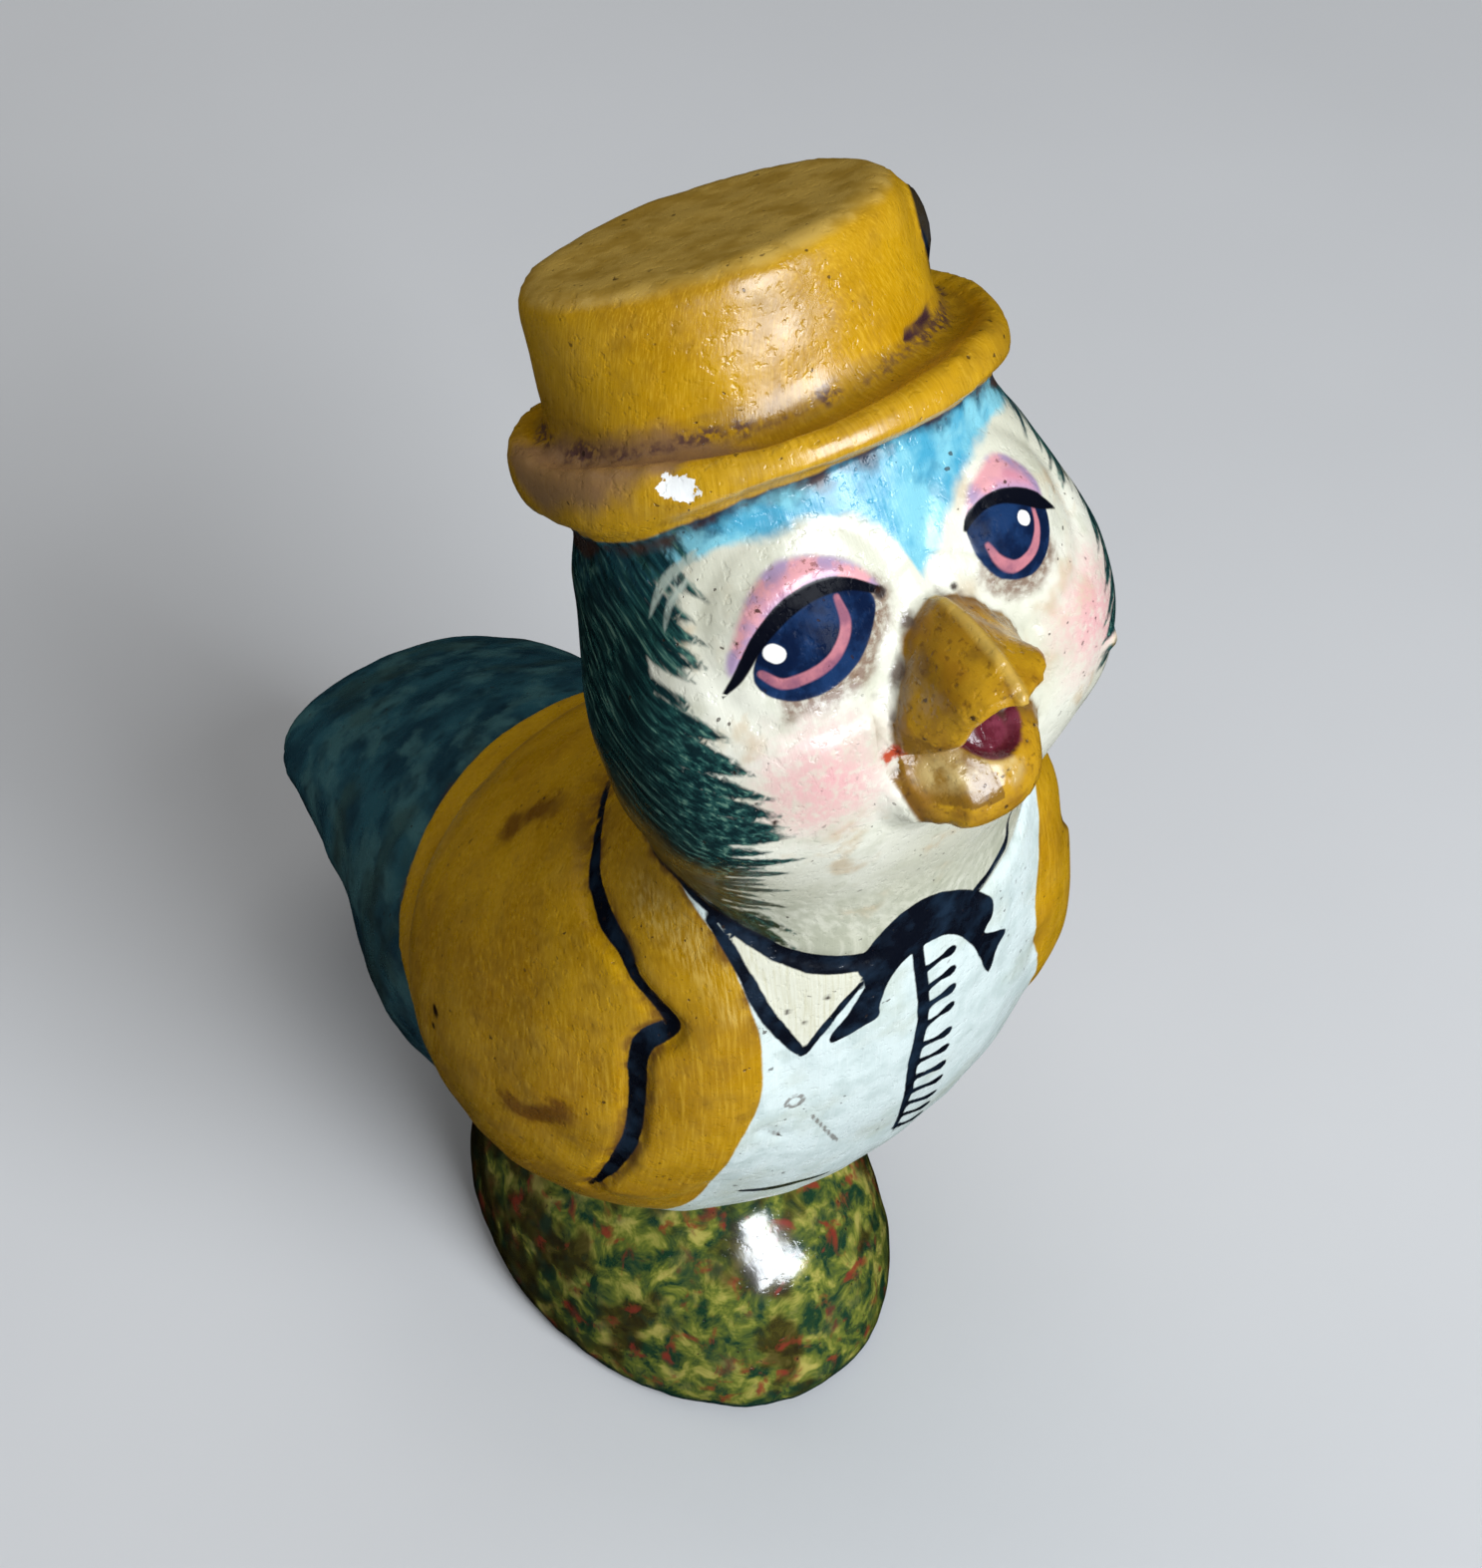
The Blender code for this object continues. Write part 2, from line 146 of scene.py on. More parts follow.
# Rouge on the cheeks fades from CHEEK_CORE to CHEEK_REACH mm from their middles.
CHEEKS = ((-12.5, -43, 129.5), (15.5, -41.5, 130.5))
CHEEK_CORE = 0.5
CHEEK_REACH = 8.3
CHEEK_SWELL = 0.5

# The beak's outline on the face (sideways, up), and the open mouth seen from above (sideways,
# forward) on the lower half of the beak.
BEAK_OUTLINE = ((-.6, 140.9), (1.8, 140.8), (4.4, 139.6), (6.6, 137.2), (8, 135), (8.4, 131), (8.3, 127.5),
                (6.6, 123), (3.4, 120.2), (.5, 119.4), (-2.4, 120.6), (-4.9, 123.4), (-6.4, 127.3),
                (-6.9, 130.4), (-6.6, 135), (-5.2, 137.2), (-3, 139.5))
MOUTH_CENTRE = (1.5, 43.3)
MOUTH_RADII = (3.9, 5.3)
MOUTH_TOP = 132
MOUTH_DEPTH = 1.1
BEAK_SIDE_IN = 1.3
BEAK_SIDE_DROP = 2.3
LIP_LIFT = 1.5
CHIN_LIFT = 0.6
RIDGE_SIDE = 0.3
RIDGE_HEIGHT = 0.7
BEAK_CREASE = 0.3
LIP_LICK = ((-7.5, -43.2, 129), (-6, -44.4, 130), .65)

# The hat: the middle of its crown's top, its backward lean, and sizes below that top in mm.
HAT_TOP = (0, -8.6, 156.2)
HAT_LEAN = math.radians(27)
HAT_AXIS = (0, math.sin(HAT_LEAN), math.cos(HAT_LEAN))
HAT_BACK = (0, math.cos(HAT_LEAN), -math.sin(HAT_LEAN))
HAT_BOTTOM = 18.7
CROWN_RADIUS = 16.95
CROWN_DEPTH_SHARE = 0.84
BOW_TOP = 1.6
BOW_BOTTOM = 10
BOW_TURN = 32
# In front the brim's roll is thinner: it is drawn up by BRIM_RISE in the middle of the front.
BRIM_RISE = 2.6
BRIM_RISE_TOP = 13.2
BRIM_RISE_END = 23

# Grooves beside the lapel and neck lines and the hem, and the hem's swell, in mm.
LAPEL_GROOVE = 0.45
NECK_GROOVE = 0.4
HEM_GROOVE = 0.3
HEM_SWELL = 0.45

# Damage, from end to end, with half its width: a chip and a gouge on the hat, and on the shirt a
# small dent and a fine crack. A ring was left by a burst bubble: its middle and radius.
CHIP = ((-16.4, -27.1, 150.8), (-15.2, -28.5, 150.9), .85)
GOUGE = ((7.9, -25, 152.1), (12.2, -22.7, 150.9), .6)
DENT = ((-16, -40, 78.9), (-13.9, -39.8, 76.1), .3)
CRACK = ((-11, -41, 78.4), (-7.1, -40.3, 69.6), .25)
RING = ((-12.9, -40.7, 82.1), .85)
RING_WIDTH = 0.25
CHIP_DEPTH = 0.35
GOUGE_DEPTH = 0.45
DENT_DEPTH = 0.3
# Brown smudges on the jacket, from end to end, and small dark spots, in mm.
SMUDGES = (((-20, -4.3, 91.2), (-16.9, -7.8, 95.3)), ((-32.2, -22, 74.6), (-29.8, -27, 77.6)))
SPOTS = (((-33, -9.1, 76.2), .75), ((-33.4, -9.1, 74.2), .45), ((-32.8, -16.9, 72), .6),
         ((-28.8, -17.7, 89.3), .4), ((-12.3, -42, 132.5), .3), ((-16.7, -42.2, 126.3), .4),
         ((-3.9, -38.2, 141.4), .5), ((2.3, -39.6, 139.6), .4), ((13.5, -43.3, 126.7), .35),
         ((-13.5, -40.1, 95.9), .4), ((-10.1, -41.4, 96.9), .45), ((-12.2, -41, 94), .3))
# Paint worn pale, with a painted highlight, along the lapel's crest and on the beak's lower lip, a hollow in
# the jacket's side, and a bubble on the far cheek.
LAPEL_WEAR_AND_SHEEN = ((-40, 104.2, 1.2), (-34.1, 104.4, 2.0), (-29.1, 103, 1.8), (-24.8, 100, 1.3), (-21.9, 96.6, .8))
LIP_WEAR_AND_SHEEN = ((-4.6, -46.8, 128.4), (1.2, -48.9, 127.6), 1.6)
HOLLOW = (-30.8, -25.3, 73.5)
HOLLOW_DEPTH = 0.5
BUBBLE = (17.9, -41.6, 126)
BUBBLE_HEIGHT = 0.7
# Waves of the hand-made surface: length in mm, share of the height, seed.
WAVES = ((12, 1, 3), (7, .6, 11), (4, .35, 23))

# The stage, in metres: the camera's place, its turn and its fall to the figure, and the lights.
CAMERA_PLACE = (-0.100, -0.1565, 0.296)
CAMERA_TURN = -35
CAMERA_FALL = (3269, 2800)
CAMERA_LENS = 64.08
LIGHT_TARGET = (0, -0.01, 0.09)
LIGHTS = (("window", (0.08, -0.70, 0.54), (0.40, 0.5), 9.6, "#F2F8FF"),
          ("back room", (-0.2, 0.62, 0.6), (0.5, 0.5), 1.5, "#FFFFFF"),
          ("skylight", (0.15, 0.1, 0.95), (0.5, 0.5), 1.6, "#FFFFFF"),
          ("room", (-0.6, -0.45, 0.35), (0.4, 0.4), 0.08, "#FFF4E4"))
ROOM_GLOW = 0.1
FLOOR_TONES = (0.6, 0.66)
FLOOR_GAP = 0.0002


def linear(code):
    """An sRGB hex code as a linear colour."""
    values = [int(code[i:i + 2], 16) / 255 for i in (1, 3, 5)]
    return tuple(v / 12.92 if v <= 0.04045 else ((v + 0.055) / 1.055) ** 2.4 for v in values) + (1.0,)


def smooth(share):
    """Eases a share from 0 to 1."""
    share = np.clip(share, 0, 1)
    return share * share * (3 - 2 * share)


def bump(distance, reach):
    """A soft swell, 1 in the middle and near 0 at its reach."""
    return np.exp(-2.5 * (distance / reach) ** 2)


def read_off(rows, value):
    """Reads the second column of some rows where the first has a value."""
    first, second = np.transpose(rows)
    return np.interp(value, first, second)


def rounded_line(points, closed=False, steps=5):
    """Passes a smooth curve through a few points of a brush stroke."""
    points = np.array(points, float)
    if closed:
        points = np.vstack((points[-1:], points, points[:2]))
    else:
        points = np.vstack((2 * points[0] - points[1], points, 2 * points[-1] - points[-2]))
    share = np.arange(steps)[:, None] / steps
    runs = []
    for i in range(1, len(points) - 2):
        before, start, end, after = points[i - 1:i + 3]
        runs.append(0.5 * (2 * start + (end - before) * share
                           + (2 * before - 5 * start + 4 * end - after) * share ** 2
                           + (3 * start - before - 3 * end + after) * share ** 3))
    if not closed:
        runs.append(points[-2:-1])
    return np.vstack(runs)


def flicks():
    """Tapered brush flicks along the feathers' edge, as strokes on the chart's near half."""
    dice = np.random.default_rng(FLICK_SEED)
    strokes = []
    up = FLICK_BOTTOM
    while up < FLICK_TOP:
        edge = read_off(FEATHER_EDGE, up)
        low = smooth((116 - up) / 14)
        temple = smooth((up - 134) / 6)
        long = dice.random() < 0.6
        length = dice.uniform(3.4, 5.6) if long else dice.uniform(1.6, 2.8)
        length = (length + 2.4 * low * dice.random()) * (1 + 0.25 * temple)
        fall = length * (0.1 + 0.42 * low + dice.uniform(-0.1, 0.12))
        width = dice.uniform(0.65, 0.95) if long else dice.uniform(0.35, 0.55)
        width *= 1 - 0.5 * low - 0.4 * temple
        strokes.append(((edge + 3.5, up + 0.5 * fall, width + 0.1), (edge, up, width),
                        (edge - 0.5 * length, up - 0.42 * fall, 0.55 * width),
                        (edge - length, up - fall, 0.03)))
        up += dice.uniform(1.1, 1.9) * (1 - 0.4 * low - 0.5 * temple)
    return strokes


def to_run(places, stretch, start, end):
    """Distance in mm from each place to a straight run, and the share of the run passed there."""
    run_x, run_y = (end[0] - start[0]) * stretch, end[1] - start[1]
    from_x, from_y = (places[:, 0] - start[0]) * stretch, places[:, 1] - start[1]
    share = np.clip((from_x * run_x + from_y * run_y) / (run_x ** 2 + run_y ** 2 + 1e-9), 0, 1)
    return np.hypot(from_x - share * run_x, from_y - share * run_y), share


def to_stroke(places, stretch, stroke):
    """Distance in mm from each place to the edge of a brush stroke, negative on the stroke."""
    line = rounded_line(stroke)
    nearest = np.full(len(places), 99.0)
    for start, end in zip(line[:-1], line[1:]):
        gap, share = to_run(places, stretch, start, end)
        nearest = np.minimum(nearest, gap - start[2] - share * (end[2] - start[2]))
    return nearest


def inside(places, stretch, outline):
    """Distance in mm to a painted shape's outline, positive inside it."""
    line = rounded_line(outline, closed=True, steps=4)
    nearest = np.full(len(places), 99.0)
    crossings = np.zeros(len(places), int)
    for start, end in zip(line, np.roll(line, -1, axis=0)):
        nearest = np.minimum(nearest, to_run(places, stretch, start, end)[0])
        spans = (places[:, 1] >= start[1]) != (places[:, 1] >= end[1])
        height = (places[:, 1] - start[1]) / ((end[1] - start[1]) or 1)
        crossings += spans & (places[:, 0] < start[0] + height * (end[0] - start[0]))
    return np.where(crossings % 2 == 1, nearest, -nearest)


def beyond(across, up, edge):
    """Distance in mm past an edge given as (up, across) rows, positive on the far side."""
    rows = rounded_line(edge)
    slope = (read_off(rows, up + 1) - read_off(rows, up - 1)) / 2
    return (across - read_off(rows, up)) / np.sqrt(1 + slope ** 2)


def eye_patch(points, centre, facing):
    """Places on the flat patch of one eye, and the distance from its middle."""
    facing = Vector(facing).normalized()
    outwards = Vector((0, 0, 1)).cross(facing).normalized()
    upwards = facing.cross(outwards)
    offset = points - np.array(centre)
    patch = np.column_stack((offset @ np.array(outwards), offset @ np.array(upwards)))
    return patch, np.linalg.norm(offset, axis=1)


def rows_of(items, name, width, kind):
    """Reads one value of every item of a mesh as the rows of an array."""
    rows = np.empty(len(items) * width, kind)
    items.foreach_get(name, rows)
    return rows.reshape(-1, width)


class Surface:
    """The cast's vertices in mm with their place on the chart, kept as arrays."""

    def __init__(self, mesh):
        self.mesh = mesh
        self.points = rows_of(mesh.vertices, "co", 3, np.float32).astype(float) / MM
        self.edges = rows_of(mesh.edges, "vertices", 2, np.int32)
        self.degree = np.bincount(self.edges.ravel(), minlength=len(self.points))
        self.chart_all()

    def chart_all(self):
        """Finds every vertex's place on the chart, and on the chart folded on to its left half."""
        x, y, self.up = self.points.T
        ahead = read_off(CHART_SPINE, self.up) - y
        self.across = CHART_RADIUS * np.arctan2(x, ahead)
        self.side = np.abs(self.across)
        self.stretch = np.hypot(x, ahead) / CHART_RADIUS
        self.chart = np.column_stack((self.across, self.up))
        self.folded = np.column_stack((self.side, self.up))

    def mean_of_neighbours(self, values):
        first, second = self.edges.T
        count = len(self.points)
        columns = []
        for column in values.reshape(count, -1).T:
            total = np.bincount(first, column[second], count) + np.bincount(second, column[first], count)
            columns.append(total / np.maximum(self.degree, 1))
        return np.column_stack(columns).reshape(values.shape)

    def soften(self, weight, rounds):
        """Takes the facets out and keeps the volume: every round smooths and swells back."""
        weight = weight[:, None]
        for _ in range(rounds):
            for pull in (0.5, -0.52):
                self.points += pull * weight * (self.mean_of_neighbours(self.points) - self.points)
        self.store()

    def store(self):
        self.mesh.vertices.foreach_set("co", (self.points * MM).astype(np.float32).ravel())
        self.mesh.update()
        self.chart_all()

    def normals(self):
        return rows_of(self.mesh.vertex_normals, "vector", 3, np.float32).astype(float)

    def write(self, name, values):
        """Keeps a number or a vector per vertex as an attribute of the mesh."""
        kind, key = ("FLOAT", "value") if values.ndim == 1 else ("FLOAT_VECTOR", "vector")
        layer = self.mesh.attributes.new(name + "_mm", kind, "POINT")
        layer.data.foreach_set(key, values.astype(np.float32).ravel())

    def distance(self, place):
        return np.linalg.norm(self.points - np.array(place, float), axis=1)

    def to_segment(self, start, end):
        """Distance in mm to a straight run between two points."""
        start, run = np.array(start, float), np.array(end, float) - np.array(start, float)
        share = np.clip((self.points - start) @ run / (run @ run), 0, 1)
        return np.linalg.norm(self.points - start - share[:, None] * run, axis=1)

    def inside_mark(self, mark):
        """Distance in mm inside a straight mark given by its ends and half its width."""
        start, end, half = mark
        return half - self.to_segment(start, end)

    def hat_bottom(self):
        """Depth of the brim's lower edge, which rises in front."""
        turn = self.hat_place()[1]
        return HAT_BOTTOM - BRIM_RISE * smooth((72 - np.abs(turn + 90)) / 50)

    def hat_place(self):
        """Depth below the crown's top, turn round the crown and distance from its wall."""
        offset = self.points - np.array(HAT_TOP, float)
        side, rear = offset[:, 0], offset @ HAT_BACK / CROWN_DEPTH_SHARE
        return -(offset @ HAT_AXIS), np.degrees(np.arctan2(rear, side)), np.hypot(side, rear) - CROWN_RADIUS

    def beak_rise(self):
        """How far the beak stands out of the face, from a smooth face fitted round the beak."""
        x, y, z = self.points.T
        wide = np.hypot((x - 0.5) / 9.5, (z - 129.5) / 12.5)
        ring = (wide > 1.05) & (wide < 1.45) & (y < -30) & (z > 108) & (z < 147)
        terms = np.column_stack((np.ones(len(x)), x, z - 130, x * x, (z - 130) ** 2, x * (z - 130)))
        fit, *_ = np.linalg.lstsq(terms[ring], y[ring], rcond=None)
        rise = terms @ fit - y
        return np.where((wide < 1.35) & (y < -30), rise, -9)

    def beak(self):
        """Distance in mm inside the beak, negative off it."""
        x, y, z = self.points.T
        outline = inside(np.column_stack((x, z)), 1, BEAK_OUTLINE)
        rise = np.where((np.abs(z - 129) < 3.2) & (np.abs(x + 3.1) < 3.1), 1, self.beak_rise() - 0.15)
        return np.where(y < -36, np.minimum(rise, outline + 0.7), -9)

    def mouth(self):
        """Distance in mm inside the open mouth on top of the beak's lower half."""
        x, y, z = self.points.T
        wide = np.hypot((x - MOUTH_CENTRE[0]) / MOUTH_RADII[0], (-y - MOUTH_CENTRE[1]) / MOUTH_RADII[1])
        return np.where((z < MOUTH_TOP) & (z > 125) & (y < -40), (1 - wide) * MOUTH_RADII[0], -9)

    def lapel_distance(self):
        """Distance in mm to the lapel's outer line or its edge on the shirt."""
        line = to_stroke(self.folded, self.stretch, LAPEL_LINE)
        edge = np.abs(self.side - read_off(SHIRT_EDGE, self.up))
        level = (self.up > 60) & (self.up < 112)
        return np.where(level, np.minimum(np.abs(line), edge * self.stretch), 99)

    def above_neckline(self):
        return self.up - read_off(rounded_line(NECKLINE), self.side)

    def tail_beyond(self):
        """Distance in mm behind the jacket's hem."""
        x, y, z = self.points.T
        hem = HEM_BEHIND - HEM_ROUNDING * x ** 2
        hem -= np.maximum(HEM_CORNER_HEIGHT - z, 0) * HEM_CORNER_SLOPE
        return np.where((z > FOOT_TOP - 0.5) | (y > FOOT_REAR), y - hem, -9)


def cast_mesh(grain):
    """An even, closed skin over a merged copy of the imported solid."""
    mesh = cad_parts[NODE].data.copy()
    mesh.materials.clear()
    bm = bmesh.new()
    bm.from_mesh(mesh)
    bmesh.ops.remove_doubles(bm, verts=bm.verts, dist=1e-6)
    bm.to_mesh(mesh)
    bm.free()
    blank = bpy.data.objects.new("blank", mesh)
    bpy.context.scene.collection.objects.link(blank)
    remesh = blank.modifiers.new("Grain", "REMESH")
    remesh.mode = "VOXEL"
    remesh.voxel_size = grain
    evaluated = blank.evaluated_get(bpy.context.evaluated_depsgraph_get())
    skin = bpy.data.meshes.new_from_object(evaluated)
    bpy.data.objects.remove(blank)
    bpy.data.meshes.remove(mesh)
    skin.name = PIECE
    for name in [a.name for a in skin.attributes if a.name in ("sharp_face", "sharp_edge")]:
        skin.attributes.remove(skin.attributes[name])
    return skin


def refine(mesh, near):
    """Cuts the faces in four where the surface carries fine forms and paint lines."""
    bm = bmesh.new()
    bm.from_mesh(mesh)
    bm.verts.ensure_lookup_table()
    edges = [e for e in bm.edges if near[e.verts[0].index] and near[e.verts[1].index]]
    bmesh.ops.subdivide_edges(bm, edges=edges, cuts=1, use_grid_fill=True)
    bm.to_mesh(mesh)
    bm.free()


def crisp_weight(surface):
    """How much each vertex may be softened: little on the beak, eyes, bow and lapel edges."""
    weight = np.ones(len(surface.points))
    x, y, z = surface.points.T
    beak = smooth((-38.5 - y) / 2) * (np.abs(x) < 9) * (z > 118) * (z < 142)
    weight = np.minimum(weight, 1 - 0.94 * beak)
    for eye in EYES:
        weight = np.minimum(weight, 1 - 0.8 * smooth((9 - surface.distance(eye["centre"])) / 3))
    weight = np.minimum(weight, 1 - 0.85 * smooth((3 - surface.lapel_distance()) / 2))
    down, turn, out = surface.hat_place()
    bow = (np.abs(turn) < BOW_TURN) & (down > 0) & (down < BOW_BOTTOM + 1) & (out > -1) & (out < 5)
    weight = np.where(bow, 0.15, weight)
    hat = (down < HAT_BOTTOM + 1) & ~bow
    return np.where(hat, np.minimum(weight, 0.45), weight)


def round_off(surface, rounds):
    """Rounds the foot's shoulder into one dome and the jacket into the tail without a seam."""
    z = surface.points[:, 2]
    weight = smooth((z - 3) / 5) * smooth((31 - z) / 4)
    seam = smooth(1.6 - np.abs(surface.tail_beyond() + 3) / 4)
    weight = np.maximum(weight, seam * smooth((z - 40) / 6) * smooth((118 - z) / 6))
    surface.soften(weight, rounds)
    for _ in range(4 * rounds):
        mean = surface.mean_of_neighbours(surface.points)
        surface.points += 0.5 * weight[:, None] * (mean - surface.points)
    surface.store()


def thin_brim(surface):
    """Draws the brim's lower edge up in front, and the head's top with it."""
    down, _, out = surface.hat_place()
    rise = HAT_BOTTOM - surface.hat_bottom()
    reach = np.minimum((down - BRIM_RISE_TOP) / (HAT_BOTTOM - BRIM_RISE_TOP),
                       (BRIM_RISE_END - down) / (BRIM_RISE_END - HAT_BOTTOM))
    rise = rise * smooth(reach) * smooth((out - 1) / 2)
    surface.points += rise[:, None] * HAT_AXIS
    surface.store()


def trim_beak(surface):
    """Draws in the beak's near side and lifts the upper half's lip towards its tip."""
    x, y, z = surface.points.T
    beak = smooth((surface.beak() + 0.6) / 1.4)
    side = BEAK_SIDE_IN * (0.35 + 0.65 * smooth((131 - z) / 3))
    surface.points[:, 0] += side * beak * smooth((-x - 2.5) / 3)
    surface.points[:, 2] -= BEAK_SIDE_DROP * beak * (smooth((z - 128) / 5) * smooth((138.5 - z) / 4)
                                                      * smooth((-x - 0.5) / 3))
    lip = smooth((-y - 44.5) / 4) * smooth((139 - z) / 4) * smooth((z - 132) / 1.2)
    surface.points[:, 2] += LIP_LIFT * beak * lip
    surface.points[:, 2] += CHIN_LIFT * beak * smooth((125 - z) / 4)
    surface.store()


def relief(surface, settings):
    """Moves the skin along its normals, in mm, for the forms that are finer than the solid's."""
    x, _, z = surface.points.T
    lift = np.zeros(len(x))
    for eye in EYES:
        patch, reach = eye_patch(surface.points, eye["centre"], eye["facing"])
        near = reach < EYE_REACH
        lift[near] += LID_STEP * smooth((inside(patch[near], 1, eye["lid"]) + 0.4) / 2.0)
        gap = to_stroke(patch[near], 1, eye["lash"])
        lift[near] -= LASH_GROOVE * bump(np.maximum(gap, 0), 1.2)
        lift -= SOCKET_DEPTH * bump(np.abs(reach - SOCKET_RADIUS), 1.6)
    for cheek in CHEEKS:
        lift += CHEEK_SWELL * bump(surface.distance(cheek), 9)
    beak = surface.beak()
    lift -= BEAK_CREASE * bump(np.abs(beak - 0.1), 0.9)
    ridge = smooth((z - 134) / 2) * smooth((beak - 0.5) / 1.5)
    lift += RIDGE_HEIGHT * ridge * np.exp(-np.abs(x - RIDGE_SIDE) / 0.9)
    lift -= MOUTH_DEPTH * smooth((surface.mouth() + 0.2) / 0.8)
    lapel = to_stroke(surface.folded, surface.stretch, LAPEL_LINE)
    lift -= LAPEL_GROOVE * bump(np.maximum(lapel, 0), 1.0) * (z > 60)
    lift -= NECK_GROOVE * bump(np.abs(surface.above_neckline()), 1.3) * (surface.side > 7)
    hem = surface.tail_beyond()
    lift -= HEM_GROOVE * bump(np.abs(hem - 0.5), 1.2)
    lift += HEM_SWELL * smooth(-hem / 0.8) * smooth((hem + 18) / 16)
    lift -= HOLLOW_DEPTH * bump(surface.distance(HOLLOW), 5.5)
    down, turn, out = surface.hat_place()
    brim = smooth((out + 1) / 3) * smooth((HAT_BOTTOM + 1 - down) / 2)
    lift += brim * settings.brim_waver / MM * np.sin(np.radians(turn) * 5 + 1) * 0.8
    lift -= CHIP_DEPTH * smooth((surface.inside_mark(CHIP) + 0.2) / 0.5)
    lift -= GOUGE_DEPTH * smooth((surface.inside_mark(GOUGE) + 0.6) / 1.2)
    lift -= DENT_DEPTH * smooth((surface.inside_mark(DENT) + 0.9) / 1.2)
    lift += BUBBLE_HEIGHT * bump(surface.distance(BUBBLE), 1.5)
    for length, share, seed in WAVES:
        dice = np.random.default_rng(seed)
        for _ in range(6):
            heading = dice.normal(size=3)
            heading *= 2 * math.pi / (length * dice.uniform(0.8, 1.4)) / np.linalg.norm(heading)
            phase = surface.points @ heading + dice.uniform(0, 6.28)
            lift += settings.unevenness / MM * share * np.sin(phase) / 3
    lift *= smooth(z / 1.5)
    surface.points += lift[:, None] * surface.normals()
    surface.points[:, 2] = np.maximum(surface.points[:, 2], 0)
    surface.store()


def ink_lines(surface):
    """Distance in mm to the ink: lapel lines, neck, collar, tie, placket and buttonholes."""
    chart, stretch = surface.chart, surface.stretch
    ink = to_stroke(surface.folded, stretch, LAPEL_LINE)
    strokes = [NECK_LINE, FAR_NECK_LINE, COLLAR_LINE, COLLAR_RETURN, PLACKET, BELLY_LINE]
    for i in range(BUTTONHOLES):
        top = BUTTONHOLE_TOP - i * BUTTONHOLE_STEP
        slant = BUTTONHOLE_SLANTS[min(i // 2, len(BUTTONHOLE_SLANTS) - 1)]
        start = -.3 + 0.09 * i
        middle = (start + 0.6 * BUTTONHOLE_LENGTH, top + 0.7 * slant, .42)
        strokes.append(((start, top, .5), middle, (start + BUTTONHOLE_LENGTH, top + slant, .78)))
    for stroke in strokes:
        ink = np.minimum(ink, to_stroke(chart, stretch, stroke))
    ink = np.minimum(ink, -inside(chart, stretch, TIE))
    return np.where(surface.points[:, 1] < 14, ink, 9)


def eye_zones(surface):
    """Writes the painted parts of both eyes, and the brown dirt and painted shade below them."""
    zones = {name: [] for name in ("lid", "iris", "lash", "crescent", "glint", "smear_and_shade")}
    for eye in EYES:
        patch, reach = eye_patch(surface.points, eye["centre"], eye["facing"])
        far = reach > EYE_REACH
        for name in ("lid", "iris"):
            zones[name].append(np.where(far, -9, inside(patch, 1, eye[name])))
        for name in ("lash", "crescent", "glint"):
            zones[name].append(np.where(far, -9, -to_stroke(patch, 1, eye[name])))
        # Brown dirt and painted shade round the iris, spread towards "shadow"
        towards = smooth((patch @ np.array(eye["shadow"]) + 1) / 4)
        zones["smear_and_shade"].append(np.where(far, -9, inside(patch, 1, eye["iris"]) + 3.4 * towards - 2.2))
    for name, values in zones.items():
        surface.write(name, np.maximum(*values))


def hat_zones(surface):
    """Writes the hat, its bow, and where dirt and dust gather round the crown's foot."""
    down, turn, out = surface.hat_place()
    surface.write("hat", np.where(surface.up > 120, surface.hat_bottom() - down, -9))
    surface.write("hat_down", down)
    bow = (np.abs(turn) < BOW_TURN) & (down > BOW_TOP) & (down < BOW_BOTTOM)
    surface.write("bow", np.where(bow, out - 0.25, -3))
    surface.write("gutter", np.hypot(down - 12.4, out - 0.4))
    from_left = np.abs((turn + 338) % 360 - 180)
    surface.write("dust", 3.6 - np.hypot(down - 12.6, out - 3) - 0.12 * np.maximum(from_left - 22, 0))


def feather_zone(surface):
    """Distance in mm inside the dark feathers, whose edge ends in brush flicks."""
    teal = (beyond(surface.side, surface.up, FEATHER_EDGE) - 1.2) * surface.stretch
    at_edge = np.abs(teal) < 14
    flicked = np.full(len(teal), 99.0)
    for stroke in flicks():
        gap = to_stroke(surface.folded[at_edge], surface.stretch[at_edge], stroke)
        flicked[at_edge] = np.minimum(flicked[at_edge], gap)
    return np.where(surface.up > 96, np.maximum(teal - 0.8, -flicked), -9)


def hollows(surface):
    """How far each vertex lies below the level of its surroundings, in mm."""
    level = surface.points.copy()
    for _ in range(10):
        level = surface.mean_of_neighbours(level)
    depth = ((level - surface.points) * surface.normals()).sum(axis=1)
    for _ in range(2):
        depth = surface.mean_of_neighbours(depth)
    return depth


